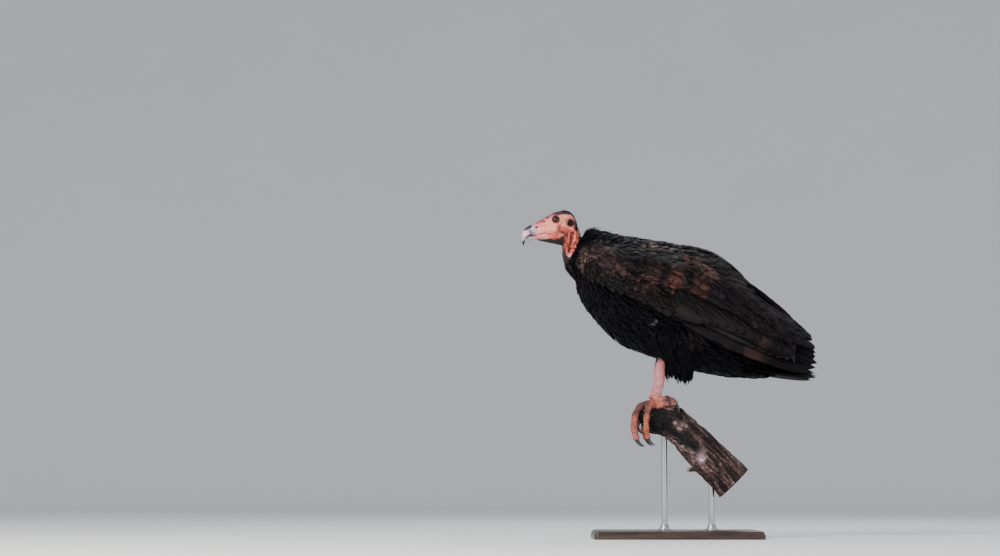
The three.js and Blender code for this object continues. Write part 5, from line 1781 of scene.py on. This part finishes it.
@dataclass
class Skin:
    """The one skin under the whole coat, from the bill to the toes."""

    finishes: Finishes
    head: Head
    legs: Legs
    marks: Markings
    trunk_depth: float = 12.0
    body_voxel: float = 6.0
    head_voxel: float = 1.1
    leg_voxel: float = 1.3

    def body_shells(self) -> list[Shell]:
        """The closed forms of the body: the trunk, the collar, the folded arms, the thighs and the rump."""
        trunk = TRUNK.rings(60, 48, self.trunk_depth)
        neck = NECK.rings(16, 32, 3.0, span=(0.6, 1.1))
        shells = [Shell.loft(trunk), Shell.loft(COLLAR.rings(24, 40, 9.0)), Shell.loft(neck)]
        shells.append(tube([[150, 0, 430], [205, 0, 422], [262, 0, 404]], lambda t: 30 - 22 * t, 16, 24, 1.5))
        for side in SIDES.values():
            wing = wing_face(side, 0.0)
            u, v = np.meshgrid(np.linspace(0.0, 0.93, 50), np.linspace(0.05, 0.93, 24), indexing="ij")
            inner = 13 + (rail([8, 18, 24, 22, 17, 12, 8, 6, 5], u) * np.sin(math.pi * (v * 0.9 + 0.05)) + 2)
            rings = np.concatenate([wing.at(u, v, 13.0), wing.at(u, v, inner)[:, ::-1]], 1)
            shells.append(Shell.loft(rings))
            shells.append(Shell.loft(THIGH.rings(40, 32, 9.0, side, (-0.1, 0.93))))
        return shells

    def build(self) -> None:
        """Fuses and sculpts the parts, unites them and paints the whole."""
        body = fuse("skin", self.body_shells(), self.body_voxel)
        relax(body, 6)
        parts = []
        head = fuse("head_skin", self.head.shells(), self.head_voxel)
        relax(head, 4)
        self.head.sculpt(head)
        relax(head, 1, 0.35)
        parts.append(head)
        for word, side in SIDES.items():
            leg = fuse(f"leg_skin_{word}", self.legs.shells(side), self.leg_voxel)
            relax(leg, 3)
            self.legs.sculpt(leg, side)
            parts.append(leg)
        for part in parts:
            union = body.modifiers.new("join", "BOOLEAN")
            union.operation = "UNION"
            union.solver = "MANIFOLD"
            union.object = part
        settle(body)
        for part in parts:
            mesh = part.data
            bpy.data.objects.remove(part)
            bpy.data.meshes.remove(mesh)
        body.data.materials.clear()
        body.data.materials.append(self.finishes[Finish.SKIN])
        self.colour(body)
        nodes = ["head", "neck", "trunk"]
        nodes += [f"{part}_{word}" for part in ("lappet", "wing", "thigh", "shank", "foot") for word in SIDES]
        dress(body, "bare_skin", *nodes)

    def colour(self, item: Object) -> None:
        """Paints the head, the legs and the rest of the skin, which carries the coat's own markings."""
        place = places(item)
        colour = 1.6 * self.marks.body(place)
        living = np.zeros(len(place))
        head = (place[:, 0] < -222) & (place[:, 2] > 640)
        colour[head], living[head] = self.head.colours(place[head])
        leg = (place[:, 2] < 441) & (place[:, 0] < 20) & (np.abs(place[:, 1]) > 5)
        fade = np.zeros(len(place))
        fade[leg] = ease(430 - place[leg, 2], 0, 24) * self.near_leg(place[leg])
        colour[leg] = layered(colour[leg], (self.legs.colours(place[leg], outward(item)[leg]), fade[leg]))
        living = np.maximum(living, fade)
        paint(item, "Marking", colour, living)
        paint(item, "Scales", np.repeat((0.07 + 0.9 * fade)[:, None], 3, axis=1))

    def near_leg(self, place: Array) -> Array:
        """1 close to a shank or a toe, and 0 on the body."""
        best = np.full(len(place), 1e9)
        for side in SIDES.values():
            for path in [self.legs.shank_path(side)] + [self.legs.toe_path(toe, side) for toe in self.legs.toes]:
                run = rail(path, np.linspace(0, 1, 24))
                best = np.minimum(best, np.linalg.norm(place[:, None] - run[None], axis=-1).min(1))
        return ease(21 - best, 0, 4)


# ---------- the branch ----------
@dataclass
class Branch:
    """A length of weathered branch: split and torn at the end that the bird grips, and sawn at the other."""

    finishes: Finishes
    flat_top: float = 310.0
    rings: int = 250
    around: int = 240
    splinters: float = 15.0

    def bark(self, along: Array, turn: Array) -> Array:
        """How far the bark stands out: long ridges, broken across into plates, with a knot and shallow dents.

        Args:
            along: the place along the branch.
            turn: the angle round it.

        Returns:
            The height at each point, in millimetres.
        """
        around = np.stack([np.cos(turn) * 46, np.sin(turn) * 46, along * 360], -1)
        twisted = around + 5 * noise(around, 60, 51)[..., None]
        ridge = 1 - np.abs(cloud(twisted * (1, 1, 0.22), 13, 53, 3))
        plates = 1 - np.abs(noise(twisted * (0.5, 0.5, 1.0), 17, 57))
        crack = ease(ridge, 0.55, 0.95) * ease(plates, 0.2, 0.75)
        ring = np.hypot((along - 0.74) / 0.055, (turn - 5.9) / 0.42)
        dents = cloud(around, 70, 61, 2)
        height = 2.6 * crack - 1.6 + 1.5 * dents + 0.5 * cloud(around, 6, 63, 3)
        waves = 1.3 * np.cos(9 * ring) * bell((ring - 0.9) / 0.6)
        return height + 7.0 * bell(ring) - 4.5 * bell(ring / 0.35) + waves

    def face(self, edge: Array, steps: int, reach: Array, seed: int, rough: float) -> Array:
        """Rings that close an end from its edge to its middle, roughened along the grain.

        Args:
            edge: the last ring of bark points.
            steps: how many rings there are.
            reach: the way out of the wood at this end.
            seed: the noise's seed.
            rough: how far the torn fibres stand up, in millimetres.

        Returns:
            The rings, from the edge inwards.
        """
        middle = edge.mean(0)
        share = np.linspace(0.965, 0.03, steps)[:, None, None]
        rings = middle + (edge - middle)[None] * share
        fibre = np.abs(noise(rings, 5.5, seed)) + 0.7 * noise(rings, 16, seed + 1)
        return rings + reach * (rough * (fibre - 0.6) * ease(1 - share[..., 0], 0, 0.12))[..., None]

    def limb(self) -> tuple[Shell, Array, Array]:
        """The limb's shell, its colours, and how much of each point is bark."""
        along, turn = grid(np.linspace(0, 1, self.rings), self.around)
        rim = np.stack([np.cos(turn) * 30, np.sin(turn) * 30, 0 * turn], -1)
        tear = self.splinters * (np.abs(noise(rim, 9, 71)) - 0.35) * (1 - ease(along, 0, 0.07))
        points = PERCH.at(along, turn)
        middle = sum(PERCH.at(along, np.full_like(turn, way * math.pi / 2)) / 2 for way in (1, -1))
        out = unit(points - middle)
        height = self.bark(along, turn) * (1 - 0.5 * ease(0.03 - along, 0, 0.03))
        points = points + out * height[..., None]
        points[..., 0] += tear
        top = self.flat_top + 0.8 * cloud(points, 9, 73, 3) - 2.0 * ease(0.1 - along, 0, 0.1)
        worn = ease(points[..., 2] - top, -1.5, 0.5) * ease(30 - points[..., 0], 0, 25)
        points[..., 2] = np.where(points[..., 0] < 30, np.minimum(points[..., 2], top), points[..., 2])
        near = self.face(points[0], 16, np.array([-1.0, 0.0, 0.1]), 75, 9.0)
        far = self.face(points[-1], 30, unit(np.array([0.62, 0.0, -0.78])), 77, 0.5)
        rings = np.concatenate([near[::-1], points, far])
        shell = Shell.loft(rings)
        flat = rings.reshape(-1, 3)
        bark, furrow_shade = (np.concatenate([np.zeros(near.shape[:2]), part, np.zeros(far.shape[:2])]).ravel()
                      for part in (1 - 0.85 * worn, ease(-height, -0.3, 1.6)))
        grain = cloud(flat * (0.25, 1, 1), 7, 79, 3)[:, None]
        colour = np.array((0.118, 0.072, 0.068)) * (1 + 0.55 * cloud(flat, 34, 81, 3)[:, None])
        # painted shade: darker on the underside towards the gripped end, and in the bark's furrows
        under = ease(290 - flat[:, 2] - 0.9 * flat[:, 0], 0, 70) * ease(60 - flat[:, 0], 0, 90)
        colour = colour * (1 - 0.6 * under[:, None])
        colour = colour * (1 - 0.8 * furrow_shade[:, None])
        shade = Fold([[-62, 284], [-42, 276], [-22, 270], [-12, 262]], 20.0, 1.5).lift(flat)
        shade = np.maximum(shade, Fold([[-14, 262], [4, 238], [32, 220], [60, 208]], 9.0, 1.3).lift(flat))
        shade = shade * ease(flat[:, 1] * -1, 0, 14) + ease(-flat[:, 0], 62, 78) * ease(306 - flat[:, 2], 0, 6)
        # painted highlight: a pale strip along the underside of the broken end; two short pale marks lie above it
        streak = Fold([[-36, 250], [-6, 233], [14, 214], [38, 198], [54, 190]], 5.5, 1.0)
        pale = streak.lift(flat) * ease(grain[:, 0], -0.6, 0.3)
        pale += Fold([[-8, 280], [0, 266], [10, 252]], 5.0, 1.1).lift(flat) * ease(grain[:, 0], -0.6, 0.2)
        pale += Fold([[6, 272], [26, 264]], 5.0, 0.9).lift(flat)
        knot = bell(np.hypot((flat[:, 0] - 57) / 9, (flat[:, 2] - 192) / 13)) * ease(-flat[:, 1], 20, 34)
        colour = layered(colour, *((other, np.minimum(weight, 0.95)) for other, weight in (
            ((0.0075, 0.007, 0.0085), shade), ((0.3, 0.2, 0.19), 0.85 * pale), ((0.52, 0.38, 0.41), 1.2 * knot))))
        bare = np.array((0.185, 0.125, 0.09)) * (1 + 0.5 * grain)
        colour = np.where((bark < 0.6)[:, None], bare, colour)
        near_count, far_start = near.shape[0] * self.around, (near.shape[0] + self.rings) * self.around
        # painted shade: the torn near end is darkened unevenly
        colour[:near_count] *= 0.25 + 0.5 * ease(cloud(flat[:near_count], 8, 83, 3), -0.6, 0.6)[:, None]
        sawn = flat[far_start:]
        from_heart = np.linalg.norm((sawn - sawn.mean(0)) * (1, 0.9, 1) - (3, 4, 0), axis=1)
        years = 0.5 + 0.5 * np.sin(from_heart * 1.55 + 1.8 * noise(sawn, 18, 85))
        bearing = np.arctan2(sawn[:, 1] - 4, sawn[:, 2] - sawn[:, 2].mean())
        check = bell(np.sin(bearing * 2.5 + 0.6) / 0.05) * ease(from_heart, 4, 18)
        wood = np.array((0.3, 0.195, 0.12)) * (0.75 + 0.4 * years[:, None]) * (1 - 0.6 * check[:, None])
        colour[far_start:] = wood * (1 - 0.45 * ease(from_heart, 30, 46)[:, None])
        colour = np.vstack([colour, colour[:1], colour[-1:]])
        return shell, colour, np.append(bark, [0, 0])

    def stub(self) -> tuple[Shell, Array, Array]:
        """A short broken twig on the underside."""
        shell = tube([[70, -24, 176], [56, -28, 168], [42, -30, 164], [27, -31, 163]],
                     lambda t: (7.5 - 3.2 * t) * (1 + 0.1 * np.sin(t * 23)) + 4 * bell(t / 0.2), 40, 30)
        lift = cloud(shell.points, 7, 87, 3)
        shell.points += unit(shell.points - shell.points.mean(0)) * 0.9 * lift[:, None]
        tip = ease(-shell.points[:, 0], -30, -28)
        shell.points[:, 0] -= tip * 3.5 * np.abs(noise(shell.points, 3, 89))
        colour = np.array((0.055, 0.04, 0.036)) * (1 + 0.4 * lift[:, None])
        colour = colour + (np.array((0.24, 0.16, 0.11)) - colour) * tip[:, None]
        return shell, colour, 1 - tip

    def build(self) -> None:
        """Joins the limb and the stub."""
        parts = [self.limb(), self.stub()]
        item = add_object("branch", Shell.joined([part[0] for part in parts]), self.finishes[Finish.BARK])
        paint(item, "Marking", np.clip(np.vstack([part[1] for part in parts]), 0, 1),
              np.concatenate([part[2] for part in parts]))
        dress(item, "bark", "perch")


@dataclass
class Stand:
    """The display stand: a moulded wooden base and two steel rods in turned collars."""

    finishes: Finishes
    length: float = 400.0
    width: float = 260.0
    height: float = 20.0
    corner: float = 9.0
    rod_radius: float = 7.0
    sunk: float = 12.0
    rods: tuple[tuple[str, float, float], ...] = (("front", -28.0, 262.0), ("rear", 84.0, 140.0))

    def base(self) -> Shell:
        """A slab with round corners whose edge rises in a small bead, a fillet and a hollow."""
        profile = [(0.0, 1.2), (0.6, 0.2), (1.6, 0.0), (9.6, 0.0), (11.2, 0.5), (11.8, 1.6), (12.2, 2.4),
                   (13.2, 2.6)]
        profile += [(13.2 + 6.2 * math.sin(a), 2.6 + 6.6 * (1 - math.cos(a)))
                    for a in np.linspace(0.1, math.pi / 2, 10)]
        profile += [(19.7, 9.8), (20.0, 10.8), (20.0, 14.0)]
        quarter = np.linspace(0, math.pi / 2, 14)
        rings = []
        for z, inset in profile:
            radius = max(self.corner - inset, 0.8)
            x, y = self.length / 2 - inset - radius, self.width / 2 - inset - radius
            loop = [np.stack([sx * x + radius * np.cos(quarter + k * math.pi / 2),
                              sy * y + radius * np.sin(quarter + k * math.pi / 2), np.full(14, z)], -1)
                    for k, (sx, sy) in enumerate(((1, 1), (-1, 1), (-1, -1), (1, -1)))]
            rings.append(np.concatenate(loop))
        return Shell.loft(np.array(rings))

    def turned_piece(self, x: float, profile: Array) -> Shell:
        """A shape turned on an upright axis at x: rings of (height, radius)."""
        turn = turns(48)
        rings = np.stack([x + profile[:, 1:] * np.cos(turn), profile[:, 1:] * np.sin(turn),
                          np.repeat(profile[:, :1], 48, 1)], -1)
        return Shell.loft(rings)

    def rod(self, x: float, top: float) -> Shell:
        """A rod with a stepped collar on the base and a thin collar and a set screw further up."""
        foot, thin = self.height, self.rod_radius
        collar = ((-self.sunk, thin), (-0.2, thin), (-0.2, 15.4), (0.4, 16.0), (2.6, 16.0), (3.2, 15.4),
                  (3.4, 11.6), (4.0, 11.0), (11.4, 10.6), (12.2, 9.8), (12.4, thin))
        steps = [(foot + z, radius) for z, radius in collar]
        steps += [(z, thin) for z in np.linspace(foot + 16, top, 14)]
        rod = self.turned_piece(x, np.array(steps))
        turn = turns(16)
        y = np.array([-9.8, -13.4, -14.0, -14.0, -13.2])[:, None]
        r = np.array([2.3, 2.3, 1.9, 0.9, 0.85])[:, None]
        screw = Shell.loft(np.stack([x + r * np.cos(turn), y + 0 * turn, foot + 7.6 + r * np.sin(turn)], -1))
        return Shell.joined([rod, screw])

    def build(self) -> None:
        """Builds the base and the rods."""
        dress(add_object("base_board", self.base(), self.finishes[Finish.WOOD]), "base", "stand_base")
        for word, x, top in self.rods:
            item = add_object(f"rod_{word}", self.rod(x, top), self.finishes[Finish.STEEL])
            dress(item, "rod", f"stand_rod_{word}")


# ---------- the studio ----------
@dataclass
class Studio:
    """The camera, the lamps and a pale floor that curves up all round the bird."""

    finishes: Finishes
    lens: float = 90.0
    reach: float = 6.0
    aim: tuple[float, float, float] = (-0.42, 0.0, 0.622)
    look_up: float = math.radians(4.8)
    bird: tuple[float, float, float] = (-0.05, 0.0, 0.55)
    lamps: tuple = (("key", (-2.5, -3.2, 2.4), 1.8, 250.0, (1.0, 0.96, 0.9)),
                    ("fill", (3.0, -3.2, 1.4), 2.6, 45.0, (0.9, 0.95, 1.0)),
                    ("rim", (0.8, 2.4, 3.0), 1.6, 36.0, (0.95, 0.97, 1.0)))
    air: Colour = (0.78, 0.83, 0.9)
    air_strength: float = 0.64
    level: float = 8.0
    run: float = 6.0
    height: float = 4.6
    around: int = 96

    def camera(self) -> None:
        """Sets the camera low and level with the perch, looking up a little."""
        data = bpy.data.cameras.new("camera")
        data.lens = self.lens
        data.sensor_width = 36.0
        data.clip_end = 60.0
        camera = bpy.data.objects.new("camera", data)
        back = self.reach * math.cos(self.look_up)
        camera.location = (self.aim[0], self.aim[1] - back, self.aim[2] - self.reach * math.sin(self.look_up))
        camera.rotation_euler = (math.pi / 2 + self.look_up, 0.0, 0.0)
        bpy.context.scene.collection.objects.link(camera)
        bpy.context.scene.camera = camera

    def lamp(self, name: str, place: Sequence[float], size: float, power: float, colour: Colour) -> None:
        """Adds a soft square lamp that faces the bird."""
        data = bpy.data.lights.new(name, "AREA")
        data.size, data.energy, data.color = size, power, colour
        lamp = bpy.data.objects.new(name, data)
        lamp.location = place
        toward = np.array(self.bird) - np.array(place)
        flat = math.hypot(toward[0], toward[1])
        lamp.rotation_euler = (math.atan2(flat, -toward[2]), 0.0, math.atan2(toward[1], toward[0]) - math.pi / 2)
        bpy.context.scene.collection.objects.link(lamp)

    def floor(self) -> None:
        """A round floor: level past every camera, then rising all round as the distance to the power 1.7."""
        around, out = self.around, np.linspace(0, 1, 24)
        radius = np.concatenate([[1.0, 4.0], self.level + self.run * out])
        rise = np.concatenate([[0.0, 0.0], self.height * out**1.7]) - 0.0005
        turn = turns(around)
        rings = np.stack([radius[:, None] * np.cos(turn), radius[:, None] * np.sin(turn),
                          np.repeat(rise[:, None], around, 1)], -1)
        at = np.arange(len(radius) * around).reshape(-1, around)
        on = np.roll(at, -1, 1)
        quads = np.stack([at[:-1], at[1:], on[1:], on[:-1]], -1).reshape(-1, 4)
        tris = np.stack([np.full(around, at.size), at[0], on[0]], -1)
        points = np.vstack([rings.reshape(-1, 3), [[0.0, 0.0, rise[0]]]]) / MM
        add_object("floor", Shell(points, quads, tris), self.finishes[Finish.STUDIO])

    def build(self) -> None:
        """Builds the whole studio."""
        self.camera()
        self.floor()
        for lamp in self.lamps:
            self.lamp(*lamp)
        world = bpy.data.worlds.new("air")
        world.use_nodes = True
        sky = world.node_tree.nodes["Background"]
        sky.inputs[0].default_value = (*self.air, 1.0)
        sky.inputs[1].default_value = self.air_strength
        bpy.context.scene.world = world


def main() -> None:
    """Builds the bird, its branch, its stand and the studio."""
    logging.basicConfig(level=logging.INFO, format="%(message)s")
    finishes = Finishes()
    marks = Markings()
    head, legs = Head(finishes, marks), Legs(finishes)
    Skin(finishes, head, legs, marks).build()
    head.build()
    legs.build()
    Plumage(finishes, marks).build()
    Branch(finishes).build()
    Stand(finishes).build()
    Studio(finishes).build()
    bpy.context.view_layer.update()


if __name__ == "__main__":
    main()
